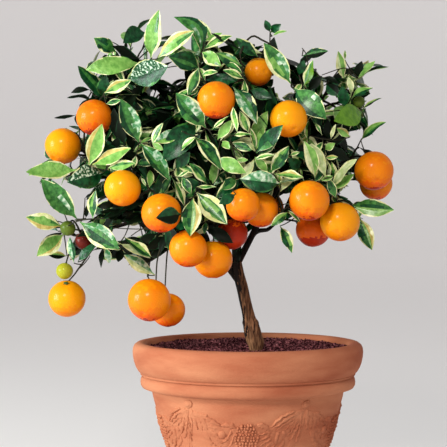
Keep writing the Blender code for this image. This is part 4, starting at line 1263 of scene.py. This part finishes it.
@dataclass
class Leaves:
    """All leaf blades, gathered as corners, faces and hues.

    Attributes:
        shape: the common blade.
        fold: least and greatest rise of the margins over the midrib.
    """

    shape: LeafShape = field(default_factory=LeafShape)
    fold: tuple[float, float] = (0.06, 0.34)
    corners: list[np.ndarray] = field(default_factory=list)
    slots: list[int] = field(default_factory=list)

    def add(self, base: Vector, tip: Vector, facing: Vector, width: float, tones: tuple[Tone, Tone],
            dice: random.Random, bend: float = 0.0) -> np.ndarray:
        """Add one blade.

        Args:
            base: where its stalk starts.
            tip: where it ends.
            facing: the way its upper side looks.
            width: its full width.
            tones: looks of its left and right halves.
            dice: random source of its curve and margins.
            bend: sideways curve to the right, as a share of its length.

        Returns:
            The blade's corners, row by row.
        """
        along = tip - base
        length = along.length
        along /= length
        across = along.cross(facing).normalized()
        above = across.cross(along)
        rows = self.shape.rows
        share = np.arange(rows + 1) / rows
        half = self.shape.halves() * width / 2
        bow, fold = dice.uniform(-0.03, 0.13), dice.uniform(*self.fold)
        wave, phase = dice.uniform(0.0, 0.055), dice.uniform(0.0, math.tau)
        seed = dice.uniform(0.0, 900.0)
        reach = [dice.uniform(*tone.value.reach) for tone in tones]
        margins = [[min(0.97, max(0.45, reach[side] + 0.32 * noise.noise(Vector((row * 0.7, side * 7.0, seed)))))
                    for side in (0, 1)] for row in range(rows + 1)]
        grid = np.zeros((rows + 1, 7, 3))
        sway = 4 * share * (1 - share)
        for row in range(rows + 1):
            edges = margins[row]
            middle = base + along * (length * share[row]) + across * (bend * length * sway[row])
            for column, spread in enumerate((-1.0, -edges[0], -0.42, 0.0, 0.42, edges[1], 1.0)):
                rise = bow * length * sway[row] + fold * abs(spread) * half[row]
                rise += wave * length * math.sin(8.0 * share[row] + phase + spread) * spread * spread * sway[row]
                rise += 0.00045 * noise.noise(Vector((row * 0.9, spread * 2.3, seed)))
                grid[row, column] = middle + across * (half[row] * spread) + above * rise
        self.corners.append(grid.reshape(-1, 3))
        for row in range(rows):
            for column in range(6):
                look = tones[column // 3].value
                margin = column in (0, 5) and margins[row][column // 3] < 0.968
                hue = look.rim if margin else look.inner if column in (2, 3) else look.outer
                # patches of painted sheen show less often than the other patches
                spot = noise.noise(Vector((row * 0.22, column * 1.3, seed + 9.0)))
                spot -= 4.0 * (share[row] - 0.45) ** 2 + (0.0 if look.patch is Hue.PAINTED_SHEEN else -0.12)
                if look.patch and 0 < column < 5 and spot > 0.0:
                    hue = look.patch
                self.slots.append(list(Hue).index(hue))
        return grid

    def build(self, piece_limit: int) -> list[bpy.types.Object]:
        """Return the leaves as joined pieces of at most so many quads."""
        finishes = [hue.value.make() for hue in Hue]
        rows, each = self.shape.rows, (self.shape.rows + 1) * 7
        blade = [(row * 7 + column, row * 7 + column + 1, row * 7 + column + 8, row * 7 + column + 7)
                 for row in range(rows) for column in range(6)]
        per_piece = piece_limit // len(blade)
        made = []
        for first in range(0, len(self.corners), per_piece):
            part = self.corners[first:first + per_piece]
            faces = [tuple(number + index * each for number in face)
                     for index in range(len(part)) for face in blade]
            slots = self.slots[first * len(blade):(first + len(part)) * len(blade)]
            made.append(add_mesh(f"leaves_{len(made) + 1}", np.concatenate(part), faces, finishes, slots))
        return made


def inside(polygon: tuple, xs: np.ndarray, ys: np.ndarray) -> np.ndarray:
    """Return which pixels lie inside a polygon."""
    result = np.zeros(xs.shape, bool)
    for (x1, y1), (x2, y2) in zip(polygon, polygon[1:] + polygon[:1]):
        if y1 != y2:
            result ^= ((y1 > ys) != (y2 > ys)) & (xs < (x2 - x1) * (ys - y1) / (y2 - y1) + x1)
    return result


@dataclass
class Screen:
    """What a leaf of the rule may cover, so that sky, oranges and set leaves stay in view.

    Attributes:
        size: pixels along a side of the photograph.
        layer: millimetres behind the crown's front at which the rule's leaves start.
    """

    size: int = 447
    layer: float = 12.0

    def __post_init__(self) -> None:
        """Mark the dense part of the crown."""
        ys, xs = np.mgrid[0:self.size, 0:self.size].astype(float)
        self.fill = inside(CROWN_FILL, xs, ys)
        for gap in SKY_GAPS:
            self.fill &= ~inside(gap, xs, ys)
        self.seen = np.full((self.size, self.size), np.inf)

    def hold(self, point: Vector, around: int = 1) -> None:
        """Keep the pixels round a place free of anything nearer."""
        px, py = SIGHT.pixel(point)
        row, column = int(round(py)), int(round(px))
        if around <= row < self.size - around and around <= column < self.size - around:
            block = self.seen[row - around:row + around + 1, column - around:column + around + 1]
            np.minimum(block, point.y / MM, out=block)

    def hold_disc(self, centre: Vector, radius: float) -> None:
        """Keep an orange's disc free of anything nearer than its middle."""
        px, py = SIGHT.pixel(centre)
        edge, _ = SIGHT.pixel(centre + Vector((radius, 0.0, 0.0)))
        ys, xs = np.mgrid[0:self.size, 0:self.size]
        disc = (xs - px) ** 2 + (ys - py) ** 2 < (edge - px) ** 2
        self.seen[disc] = np.minimum(self.seen[disc], centre.y / MM)

    def hold_blade(self, grid: np.ndarray) -> None:
        """Keep the pixels that a set leaf covers."""
        for row in range(len(grid) - 1):
            for step in (0.0, 0.5):
                line = grid[row] * (1 - step) + grid[row + 1] * step
                for column in range(6):
                    self.hold(Vector(line[column]))
                    self.hold(Vector((line[column] + line[column + 1]) / 2))
                self.hold(Vector(line[6]))

    def clear(self, point: Vector) -> bool:
        """Tell whether something at a place leaves the view as it should be."""
        px, py = SIGHT.pixel(point)
        row, column = int(round(py)), int(round(px))
        if not (0 <= row < self.size and 0 <= column < self.size):
            return False
        depth = point.y / MM
        if self.seen[row, column] < np.inf:
            return depth > self.seen[row, column] + 2.5
        return bool(self.fill[row, column]) and depth > SIGHT.crown_front(px, py) + self.layer


@dataclass
class Orange:
    """One orange on its stalk.

    Attributes:
        middle: its centre.
        radius: its radius.
        stem: direction from its centre to its stalk.
        mass: name of the mass that carries it.
        peel: its ripeness, or painted shade where it hangs in shadow.
    """

    middle: Vector
    radius: float
    stem: Vector
    mass: str
    peel: Peel = Peel.ORANGE
    rings: int = 26
    steps: int = 40

    def calyx_place(self) -> Vector:
        """Return where the stalk meets the orange."""
        return self.middle + self.stem * self.radius * 0.93

    def turn(self) -> Matrix:
        """Return the rotation that sets the Z axis along the stem."""
        return self.stem.to_track_quat("Z", "Y").to_matrix()

    def shape(self, dice: random.Random) -> tuple[list[Vector], list]:
        """Return the orange's corners and faces: a little flat, hollowed at stalk and navel."""
        turn, seed = self.turn(), dice.uniform(0.0, 500.0)
        corners, faces = [], []
        for ring in range(self.rings + 1):
            polar = math.pi * ring / self.rings
            size = self.radius * (1.0 - 0.035 * math.cos(polar) ** 2)
            size -= self.radius * 0.055 * math.exp(-(polar / 0.24) ** 2)
            foot = math.pi - polar
            size -= self.radius * 0.075 * math.exp(-(foot / 0.10) ** 2)
            size += self.radius * 0.016 * math.exp(-((foot - 0.24) / 0.09) ** 2)
            for step in range(1 if ring in (0, self.rings) else self.steps):
                angle = math.tau * step / self.steps
                out = math.sin(polar)
                way = Vector((out * math.cos(angle), out * math.sin(angle), math.cos(polar)))
                lump = 1.0 + 0.012 * noise.noise(way * 1.6 + Vector((seed, 0.0, 0.0)))
                corners.append(self.middle + turn @ way * size * lump)
        last = len(corners) - 1
        for step in range(self.steps):
            following = (step + 1) % self.steps
            faces.append((0, 1 + step, 1 + following))
            foot = last - self.steps
            faces.append((last, foot + following, foot + step))
            for ring in range(self.rings - 2):
                low, high = 1 + ring * self.steps, 1 + (ring + 1) * self.steps
                faces.append((low + step, high + step, high + following, low + following))
        return corners, faces

    def hues(self, corners: list[Vector], faces: list, dice: random.Random) -> list[int]:
        """Return the peel's number at each face, with painted shade and light: redder underneath, paler on top.
        """
        first = list(Peel).index(self.peel)
        if first > 5:
            return [first] * len(faces)
        numbers = []
        for face in faces:
            # painted shade and light: low faces step to redder, darker peels, high faces to paler ones
            low = (self.middle - corners[face[0]]).z / self.radius
            shift = 3.6 * max(0.0, low - 0.1) ** 1.4 - 0.6 * max(0.0, -low) + dice.uniform(-0.3, 0.3)
            numbers.append(max(0, min(5, round(first + shift))))
        return numbers

    def calyx(self) -> tuple[list[Vector], list]:
        """Return the five-lobed calyx between stalk and orange."""
        turn, base = self.turn(), self.middle
        size = min(1.0, self.radius / (17 * MM))
        corners = [base + turn @ Vector((0.0, 0.0, self.radius * 0.94 + 1.3 * MM * size))]
        for out, rise in ((1.5, 1.1), (None, 0.35)):
            for step in range(20):
                angle = math.tau * step / 20
                reach = (out or 2.3 + 1.9 * max(0.0, math.cos(angle * 5)) ** 1.5) * MM * size
                drop = math.sqrt(max(0.0, self.radius ** 2 - reach ** 2)) - self.radius * 0.05
                way = Vector((reach * math.cos(angle), reach * math.sin(angle), drop + rise * MM * size))
                corners.append(base + turn @ way)
        faces = []
        for step in range(20):
            following = (step + 1) % 20
            faces.append((0, 1 + step, 1 + following))
            faces.append((1 + step, 21 + step, 21 + following, 1 + following))
        return corners, faces


@dataclass
class Crown:
    """Twigs, leaves and oranges of every mass."""

    limbs: Limbs
    leaves: Leaves = field(default_factory=Leaves)
    screen: Screen = field(default_factory=Screen)
    twigs: TubeSet = field(default_factory=TubeSet)
    oranges: list[Orange] = field(default_factory=list)
    taken: set = field(default_factory=set)
    nodes: list[tuple[Vector, Line, float]] = field(default_factory=list)
    spare: list[Line] = field(default_factory=list)
    centre: Vector = field(default_factory=lambda: Vector((-38.0, 18.0, 385.0)) * MM)
    low: Vector = field(default_factory=lambda: Vector((-0.229, -0.141, 0.212)))
    high: Vector = field(default_factory=lambda: Vector((0.157, 0.178, 0.534)))

    def grow(self) -> None:
        """Set what the photograph shows, grow the masses, and join the two."""
        stems = {mass.name: self.stem_line(mass) for mass in MASSES}
        for mass in MASSES:
            for fruit in mass.fruits:
                self.oranges.append(self.orange(mass, Vector(fruit[:3]) * MM, fruit[3] * MM, stems[mass.name]))
        dice = random.Random(77)
        bases = [self.set_leaf(seen, dice) for seen in SEEN_LEAVES]
        twig_roots = [self.set_twig(seen) for seen in SEEN_TWIGS]
        lines = {mass.name: self.mass_lines(mass, stems[mass.name], random.Random(mass.seed)) for mass in MASSES}
        first = len(self.nodes)
        self.join(twig_roots + bases)
        self.sprinkle(first, random.Random(41))
        for mass in MASSES:
            mass_dice = random.Random(mass.seed + 100)
            for line in lines[mass.name]:
                self.dress(line, mass_dice)
        for line in self.spare:
            if line.used > 0.0:
                self.twigs.add(line.needed(), 6)

    def stem_line(self, mass: Mass) -> Line:
        """Return a mass's stem, which goes on from its bough by the source's rule."""
        tip, heading, _ = self.limbs.lines[mass.name].at(1.0)
        centre = Vector(mass.centre) * MM
        toward = (centre - tip).normalized()
        end = centre + toward * mass_radius(mass, toward) * 0.35
        span = (end - tip).length
        return Line(bezier(tip, tip + heading * span * 0.3, end - toward * span * 0.3, end, 8),
                    [(1.9 - 0.9 * index / 7) * MM for index in range(8)], 0.7)

    def orange(self, mass: Mass, middle: Vector, radius: float, stem: Line) -> Orange:
        """Return the orange at a place, turned and ripe as the photograph shows it."""
        root, _, _ = stem.at(0.6)
        way = (UP * 1.2 + (root - middle).normalized()).normalized()
        made = Orange(middle, radius, way, mass.name)
        px, py = SIGHT.pixel(middle)
        for seen in sorted(SEEN_ORANGES, key=lambda one: math.dist(one.middle, (px, py)))[:1]:
            if middle.y < 0 and math.dist(seen.middle, (px, py)) < 11.0:
                made.peel = seen.peel
                middle = made.middle = SIGHT.place(*seen.middle, middle.y / MM)
                self.screen.hold_disc(middle, radius)
                for spot, sign in ((seen.stem, 1.0), (seen.navel, -1.0)):
                    if spot:
                        offset = (SIGHT.place(*spot, middle.y / MM) - middle) / radius
                        offset.y = -math.sqrt(max(0.05, 1.0 - offset.length_squared))
                        made.stem = offset.normalized() * sign
        return made

    def set_leaf(self, seen: SeenLeaf, dice: random.Random) -> Vector:
        """Place a leaf of the photograph at the crown's front and return its base."""
        middle = ((seen.base[0] + seen.tip[0]) / 2, (seen.base[1] + seen.tip[1]) / 2)
        depth = SIGHT.crown_front(*middle) + 8.0 - seen.nearer + dice.uniform(-3.0, 3.0)
        depth += {"K": 14.0, "D": 4.0}.get(seen.tones[0], 0.0)
        scale = SIGHT.scale * (1.0 - depth / SIGHT.eye[1])
        flat = math.dist(seen.base, seen.tip) * scale
        length = max(flat * 1.04, seen.width * scale * 1.9)
        slant = math.sqrt(length ** 2 - flat ** 2) / 2
        width = max(seen.width * scale, (0.38 if seen.width > 5 else 0.26) * length)
        for shift in self.shifts(seen):
            near = max(depth + shift, -140.0)
            base = SIGHT.place(*seen.base, near + slant)
            tip = SIGHT.place(*seen.tip, near - slant)
            facing, across = self.facing(base, tip, seen.width * scale / width, dice)
            if self.clear_of_oranges(base, tip, across * width / 2, seen, near + slant):
                break
        tones = (Tone[seen.tones[0]], Tone[seen.tones[1]])
        grid = self.leaves.add(base, tip, facing, width * MM, tones, dice, seen.bend)
        self.screen.hold_blade(grid)
        self.take(base, tip)
        return base

    def shifts(self, seen: SeenLeaf) -> list[float]:
        """Return the depth changes to try for a leaf, nearest first."""
        steps = [3.0 * step for step in range(26)]
        behind = seen.tones[0] == "K" and seen.nearer <= 0
        if self.over_orange(seen):
            return steps if behind else [-step for step in steps]
        return [0.0] + [sign * step for step in steps[1:] for sign in (1.0, -1.0)]

    def over_orange(self, seen: SeenLeaf) -> bool:
        """Tell whether a leaf of the photograph overlaps an orange's disc."""
        for orange in self.oranges:
            if orange.middle.y < 0:
                px, py = SIGHT.pixel(orange.middle)
                for share in (0.25, 0.5, 0.75, 1.0):
                    spot = [seen.base[axis] + (seen.tip[axis] - seen.base[axis]) * share for axis in (0, 1)]
                    if math.dist(spot, (px, py)) < orange.radius / MM * 0.86:
                        return True
        return False

    def facing(self, base: Vector, tip: Vector, share: float, dice: random.Random) -> tuple[Vector, Vector]:
        """Return a set leaf's upward side and its sideways direction.

        Args:
            base: where it starts.
            tip: where it ends.
            share: how wide it looks against its true width.
            dice: random source.
        """
        along = (tip - base).normalized()
        view = (Vector(SIGHT.eye) * MM - base).normalized()
        level = (view - along * view.dot(along)).normalized()
        side = along.cross(level)
        roll = math.acos(min(1.0, share)) + dice.uniform(-0.08, 0.08)
        options = [level * math.cos(roll) + side * math.sin(roll) * sign for sign in (1.0, -1.0)]
        upward = max(options, key=lambda option: option.dot(Vector((-0.2, -0.3, 0.9))))
        return upward, along.cross(upward)

    def clear_of_oranges(self, base: Vector, tip: Vector, side: Vector, seen: SeenLeaf, depth: float) -> bool:
        """Tell whether a set leaf misses every orange, on the side of it that it shows."""
        front = self.over_orange(seen) and not (seen.tones[0] == "K" and seen.nearer <= 0)
        for orange in self.oranges:
            px, py = SIGHT.pixel(orange.middle)
            for share in (0.1, 0.3, 0.5, 0.7, 0.9, 1.0):
                for sway in (-0.8, 0.0, 0.8):
                    point = base.lerp(tip, share) + side * (sway * math.sin(math.pi * share))
                    if (point - orange.middle).length < orange.radius + 2.5 * MM:
                        return False
                    spot = SIGHT.pixel(point)
                    over = orange.middle.y < 0 and math.dist(spot, (px, py)) < orange.radius / MM * 0.8
                    if over and front and point.y > orange.middle.y:
                        return False
        return depth < 150.0

    def set_twig(self, seen: SeenTwig) -> Vector:
        """Draw a twig of the photograph and return its root."""
        points = [SIGHT.place(px, py, SIGHT.crown_front(px, py) + 10.0) for px, py in seen.path]
        if seen.fruit:
            carried = min(self.oranges, key=lambda orange: math.dist(SIGHT.pixel(orange.middle), seen.fruit)
                          + (500.0 if orange.middle.y > 0 else 0.0))
            points[0] = carried.calyx_place()
            for index in range(1, len(points)):
                px, py = seen.path[index]
                points[index] = SIGHT.place(px, py, (points[0].y / MM + points[index].y / MM) / 2)
        count = len(points)
        line = Line(points, [seen.radius * MM * (0.75 + 0.25 * index / (count - 1)) for index in range(count)])
        line = line.finer(12)
        self.twigs.add(line, 6)
        self.offer(line, 2)
        return line.points[-1]

    def mass_lines(self, mass: Mass, stem: Line, dice: random.Random) -> list[Line]:
        """Draw a mass's stem, fruit stalks and twigs, and return them."""
        self.spare.append(stem)
        self.offer(stem, 0)
        lines = [stem]
        shown = [seen.fruit for seen in SEEN_TWIGS if seen.fruit]
        for orange in self.oranges:
            if orange.mass != mass.name:
                continue
            spot = SIGHT.pixel(orange.middle)
            if orange.middle.y < 0 and any(math.dist(spot, place) < 6.0 for place in shown):
                continue
            root, _, _ = stem.at(0.6)
            end = orange.calyx_place()
            reach = (end - root).length
            path = bezier(root, root.lerp(end, 0.4) + UP * 8 * MM, end + orange.stem * reach * 0.3, end, 9)
            self.draw(path, 1.3, 0.8)
        for tip_place in mass.tips:
            goal = Vector(tip_place) * MM
            root, _, _ = stem.at(0.7)
            along = (goal - root).normalized()
            end = goal - along * min(46 * MM, (goal - root).length * 0.7)
            lines.append(self.twig(root, end, 4 * MM))
            if goal.y > 0:
                self.leaf(end, along, (goal - end).length, dice, wanted=True)
        axis = (stem.points[-1] - stem.points[0]).normalized()
        side = axis.orthogonal().normalized()
        phase = dice.uniform(0.0, math.tau)
        for index in range(13):
            share = 0.2 + 0.78 * (index % 9) / 8
            root, _, _ = stem.at(share)
            turn = Matrix.Rotation(phase + index * GOLDEN_ANGLE, 3, axis)
            lean = math.radians((74 if index < 9 else 118) - 36 * share + dice.uniform(-8, 8))
            way = axis * math.cos(lean) + (turn @ side) * math.sin(lean)
            end = root + way * mass_radius(mass, way) * dice.uniform(0.62, 0.84)
            if all(self.screen.clear(root.lerp(end, part)) for part in (0.6, 0.8, 1.0)):
                lines.append(self.twig(root, end, 3 * MM))
        return lines

    def draw(self, path: list[Vector], thick: float, thin: float, spare: bool = False) -> Line:
        """Draw a twig along a path bent clear of the oranges.

        Args:
            path: its points.
            thick: radius at its root in millimetres.
            thin: radius at its end in millimetres.
            spare: whether it waits to be drawn until something is set on it.

        Returns:
            Its line.
        """
        points = []
        for index, point in enumerate(path):
            for orange in self.oranges:
                away = point - orange.middle
                if 0 < index < len(path) - 1 and away.length < orange.radius + 1.6 * MM:
                    point = orange.middle + away.normalized() * (orange.radius + 1.8 * MM)
            points.append(point)
        count = len(points) - 1
        line = Line(points, [(thick + (thin - thick) * index / count) * MM for index in range(count + 1)])
        if spare:
            self.spare.append(line)
        else:
            self.twigs.add(line, 6)
        self.offer(line, 1)
        return line

    def offer(self, line: Line, first: int) -> None:
        """Offer a line's points, from one of them on, to whatever needs a hold."""
        last = len(line.points) - 1
        self.nodes += [(line.points[index], line, index / last) for index in range(first, last + 1)]

    def twig(self, start: Vector, end: Vector, sag: float) -> Line:
        """Draw one of the rule's twigs between two points and return its line."""
        middle = start.lerp(end, 0.5) + UP * sag
        return self.draw(Line([start, middle, end], [1.0, 1.0, 1.0]).finer(9).points, 1.3, 0.75, True)

    def join(self, ends: list[Vector]) -> None:
        """Carry every set leaf and twig by a fine twig from the nearest limb, nearest first.

        Args:
            ends: places that hang free so far.
        """
        goals = np.array([tuple(end) for end in ends])

        def reach(places: np.ndarray) -> np.ndarray:
            """Return how far each goal is from each place, further where the place is in front."""
            apart = goals[:, None, :] - places[None, :, :]
            return np.linalg.norm(apart, axis=2) + 1.2 * np.maximum(0.0, apart[:, :, 1])

        far = reach(np.array([tuple(node[0]) for node in self.nodes]))
        best, source = far.min(1), far.argmin(1)
        waiting = set(range(len(ends)))
        while waiting:
            index = min(waiting, key=lambda number: best[number])
            waiting.discard(index)
            start, carrier, share = self.nodes[source[index]]
            end = ends[index]
            span = (end - start).length
            carrier.used = max(carrier.used, share)
            if span < 0.5 * MM:
                continue
            back = Vector((0.0, 0.25, -0.2)) * span
            path = bezier(start, start.lerp(end, 0.35) + back * 0.3, start.lerp(end, 0.7) + back * 0.5, end, 6)
            first = len(self.nodes)
            self.draw(path, 0.55 + 0.008 * span / MM, 0.5)
            far = reach(np.array([tuple(node[0]) for node in self.nodes[first:]]))
            closer = far.min(1) < best
            best[closer] = far.min(1)[closer]
            source[closer] = first + far.argmin(1)[closer]

    def sprinkle(self, first: int, dice: random.Random) -> None:
        """Set small leaves along the fine twigs, from one of the offered points on."""
        for point, line, share in self.nodes[first:]:
            _, axis, _ = line.at(share)
            turn = Matrix.Rotation(dice.uniform(0.0, math.tau), 3, axis)
            along = (axis * 0.5 + (turn @ axis.orthogonal().normalized()) * 0.8).normalized()
            self.leaf(point, along, dice.uniform(16, 32) * MM, dice, small=True)

    def dress(self, line: Line, dice: random.Random) -> None:
        """Set twiglets and leaves around a twig by the golden angle."""
        self.spray(line, 5, dice)
        phase = dice.uniform(0.0, math.tau)
        for index in range(4):
            start, axis, _ = line.at(0.34 + 0.2 * index)
            turn = Matrix.Rotation(phase + index * GOLDEN_ANGLE, 3, axis)
            way = axis * 0.5 + (turn @ axis.orthogonal().normalized()) * 0.8
            way += (start - self.centre).normalized() * 0.35
            end = start + way.normalized() * dice.uniform(16, 30) * MM
            if self.screen.clear(end):
                middle = start.lerp(end, 0.5) + UP * 1.5 * MM
                twiglet = Line([start, middle, end], [0.75 * MM, 0.65 * MM, 0.5 * MM])
                if self.spray(twiglet, 5, dice):
                    self.twigs.add(twiglet.needed().finer(5), 5)
                    line.used = max(line.used, 0.34 + 0.2 * index)

    def spray(self, line: Line, count: int, dice: random.Random) -> int:
        """Set leaves around a twig and one at its end, and return how many found room."""
        phase = dice.uniform(0.0, math.tau)
        found = 0
        for index in range(count + 1):
            share = 1.0 if index == count else 0.25 + 0.7 * index / (count - 1)
            point, axis, _ = line.at(share)
            along = axis
            if index < count:
                turn = Matrix.Rotation(phase + index * GOLDEN_ANGLE, 3, axis)
                along = axis * 0.6 + (turn @ axis.orthogonal().normalized()) * 0.8
                along += (point - self.centre).normalized() * 0.35
            if self.leaf(point, along.normalized(), self.leaves.shape.length * dice.uniform(0.62, 1.15), dice):
                found += 1
                line.used = max(line.used, share)
        return found

    def cells(self, base: Vector, tip: Vector) -> list[tuple[int, ...]]:
        """Return the cells of space that a leaf passes through."""
        return [tuple(int(value // (9 * MM)) for value in base.lerp(tip, share)) for share in (0.3, 0.55, 0.8)]

    def take(self, base: Vector, tip: Vector) -> None:
        """Mark a leaf's cells as taken."""
        self.taken.update(self.cells(base, tip))

    def leaf(self, base: Vector, along: Vector, length: float, dice: random.Random, wanted: bool = False,
             small: bool = False) -> bool:
        """Add a leaf of the rule unless it would crowd, cut or hide something, or leave the crown.

        Args:
            base: where it starts.
            along: its direction.
            length: its length in metres.
            dice: random source of its shape and colours.
            wanted: whether it is kept in any case.
            small: whether it is one of the small pale leaves, which may crowd.

        Returns:
            Whether the leaf was added.
        """
        outward = (base - self.centre).normalized()
        facing = outward * 0.7 + UP * 0.7 + Vector([dice.uniform(-0.55, 0.55) for _ in range(3)])
        facing -= along * facing.dot(along)
        if facing.length < 0.2:
            facing = along.orthogonal()
        facing.normalize()
        width = length * dice.uniform(0.36, 0.47) * (0.8 if small else 1.0)
        tip, across = base + along * length, along.cross(facing)
        tones = self.pick_tones(base.lerp(tip, 0.5), dice, small)
        samples = [base.lerp(tip, share) + across * (sway * width / 2 * math.sin(math.pi * share))
                   for share in (0.25, 0.5, 0.75, 1.0) for sway in (-0.8, 0.0, 0.8)]
        if not wanted:
            if any(not self.low[axis] <= tip[axis] <= self.high[axis] for axis in range(3)):
                return False
            if sum(cell in self.taken for cell in self.cells(base, tip)) > (2 if small else 1):
                return False
            if not all(self.screen.clear(sample) for sample in samples):
                return False
        for orange in self.oranges:
            if any((sample - orange.middle).length < orange.radius + 2.5 * MM for sample in samples):
                return False
        self.take(base, tip)
        self.leaves.add(base, tip, facing, width, tones, dice)
        return True

    def pick_tones(self, place: Vector, dice: random.Random, small: bool) -> tuple[Tone, Tone]:
        """Return the looks of a leaf's halves, with painted shade: darker deep in the crown and low at its
        front.
        """
        away = place - self.centre
        depth = math.sqrt((away.x / 0.190) ** 2 + (away.y / 0.150) ** 2 + (away.z / 0.150) ** 2)
        if small:
            weights = {"C": 3, "P": 3, "L": 2, "G": 3, "T": 1, "M": 2, "D": 2}
        # painted shade: leaves low at the front, under the oranges, and deep in the crown are mostly near-black
        elif place.z < 0.338 and place.y < 0.03 and dice.random() < 0.8:
            weights = {"K": 9, "D": 2, "M": 1}
        elif depth < 0.62 or (place.y < -0.01 and depth < 0.95):
            weights = {"K": 9, "D": 3, "M": 2, "L": 0.6, "C": 0.6}
        else:
            weights = {"D": 4, "G": 4, "M": 3, "F": 1.5, "S": 0.5, "L": 2, "P": 1.6, "C": 1.6, "T": 0.8,
                       "W": 0.8, "K": 1.6}
        first = dice.choices(list(weights), list(weights.values()))[0]
        second = dice.choices(list(weights), list(weights.values()))[0] if dice.random() < 0.3 else first
        return Tone[first], Tone[second]

    def build(self) -> None:
        """Make the crown's joined pieces."""
        settle(self.twigs.build("twigs", TWIG.make()), Slot.FOLIAGE)
        pieces = self.leaves.build(90000)
        for index, piece in enumerate(pieces):
            settle(piece, Slot.FOLIAGE, *(["foliage_" + mass.name for mass in MASSES] if index == 0 else []))
        LOG.info("%d leaves, %d of them set", len(self.leaves.corners), len(SEEN_LEAVES))
        dice = random.Random(3)
        fruit, tops = ([], [], []), ([], [])
        for orange in self.oranges:
            corners, faces = orange.shape(dice)
            fruit[1].extend(tuple(number + len(fruit[0]) for number in face) for face in faces)
            fruit[2].extend(orange.hues(corners, faces, dice))
            fruit[0].extend(tuple(corner) for corner in corners)
            corners, faces = orange.calyx()
            tops[1].extend(tuple(number + len(tops[0]) for number in face) for face in faces)
            tops[0].extend(tuple(corner) for corner in corners)
        finishes = [peel.value.make() for peel in Peel]
        settle(add_mesh("oranges", np.array(fruit[0]), fruit[1], finishes, fruit[2]), Slot.FOLIAGE)
        settle(add_mesh("calyxes", np.array(tops[0]), tops[1], [CALYX.make()]), Slot.FOLIAGE)


@dataclass(frozen=True)
class Lamp:
    """A soft square light that looks at the plant."""

    name: str
    place: tuple[float, float, float]
    power: float
    size: float
    colour: Colour = (1.0, 1.0, 1.0)

    def build(self) -> None:
        """Set the light."""
        light = bpy.data.lights.new(self.name, "AREA")
        light.energy, light.size, light.color = self.power, self.size, self.colour
        lamp = bpy.data.objects.new(self.name, light)
        lamp.location = self.place
        toward = Vector((-0.03, 0, 0.33)) - Vector(self.place)
        lamp.rotation_euler = toward.to_track_quat("-Z", "Y").to_euler()
        bpy.context.scene.collection.objects.link(lamp)


@dataclass
class Studio:
    """Floor with a round sweep, light and camera."""

    paper: PlainFinish = PlainFinish("pale_paper", (0.62, 0.60, 0.595), 0.95, gloss=0.1, glow=0.48)
    flat: float = 6.5
    round: float = 1.5
    wall: float = 8.0
    sky: tuple[float, float, float, float] = (0.95, 0.97, 1.0, 1.0)
    sky_power: float = 0.20
    lamps: tuple[Lamp, ...] = (
        Lamp("key", (-0.45, -1.55, 1.15), 18.1, 0.34, (1.0, 0.96, 0.90)),
        Lamp("window", (-2.10, -0.85, 0.66), 65.0, 1.0, (0.88, 1.0, 0.97)),
    )

    def build(self) -> None:
        """Set the floor, the lights and the camera."""
        profile = [(0.0, 0.0), (self.flat, 0.0)]
        profile += [(self.flat + self.round * math.sin(turn), self.round * (1.0 - math.cos(turn)))
                    for turn in (math.pi / 24 * step for step in range(1, 13))]
        corners, faces = turned(profile + [(self.flat + self.round, self.wall)], 96)
        sweep = add_mesh("floor_sweep", corners, faces, [self.paper.make()])
        scene = bpy.context.scene
        scene.view_settings.view_transform = "Standard"
        scene.world = bpy.data.worlds.new("studio")
        scene.world.use_nodes = True
        sky = scene.world.node_tree.nodes["Background"]
        sky.inputs["Color"].default_value = self.sky
        sky.inputs["Strength"].default_value = self.sky_power
        for lamp in self.lamps:
            lamp.build()
        camera = bpy.data.cameras.new("camera")
        camera.sensor_width = 36.0
        camera.lens = 36.0 * SIGHT.reach / (2 * SIGHT.middle * SIGHT.scale)
        holder = bpy.data.objects.new("camera", camera)
        holder.location = Vector(SIGHT.eye) * MM
        holder.rotation_euler = SIGHT.ahead.to_track_quat("-Z", "Y").to_euler()
        scene.collection.objects.link(holder)
        scene.camera = holder


def main() -> None:
    """Build the plant around its frame and report each piece."""
    logging.basicConfig(level=logging.INFO, format="%(name)s: %(message)s")
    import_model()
    Pot().build()
    Soil().build()
    limbs = Limbs()
    limbs.grow()
    limbs.build()
    crown = Crown(limbs)
    crown.grow()
    crown.build()
    Studio().build()


if __name__ == "__main__":
    main()
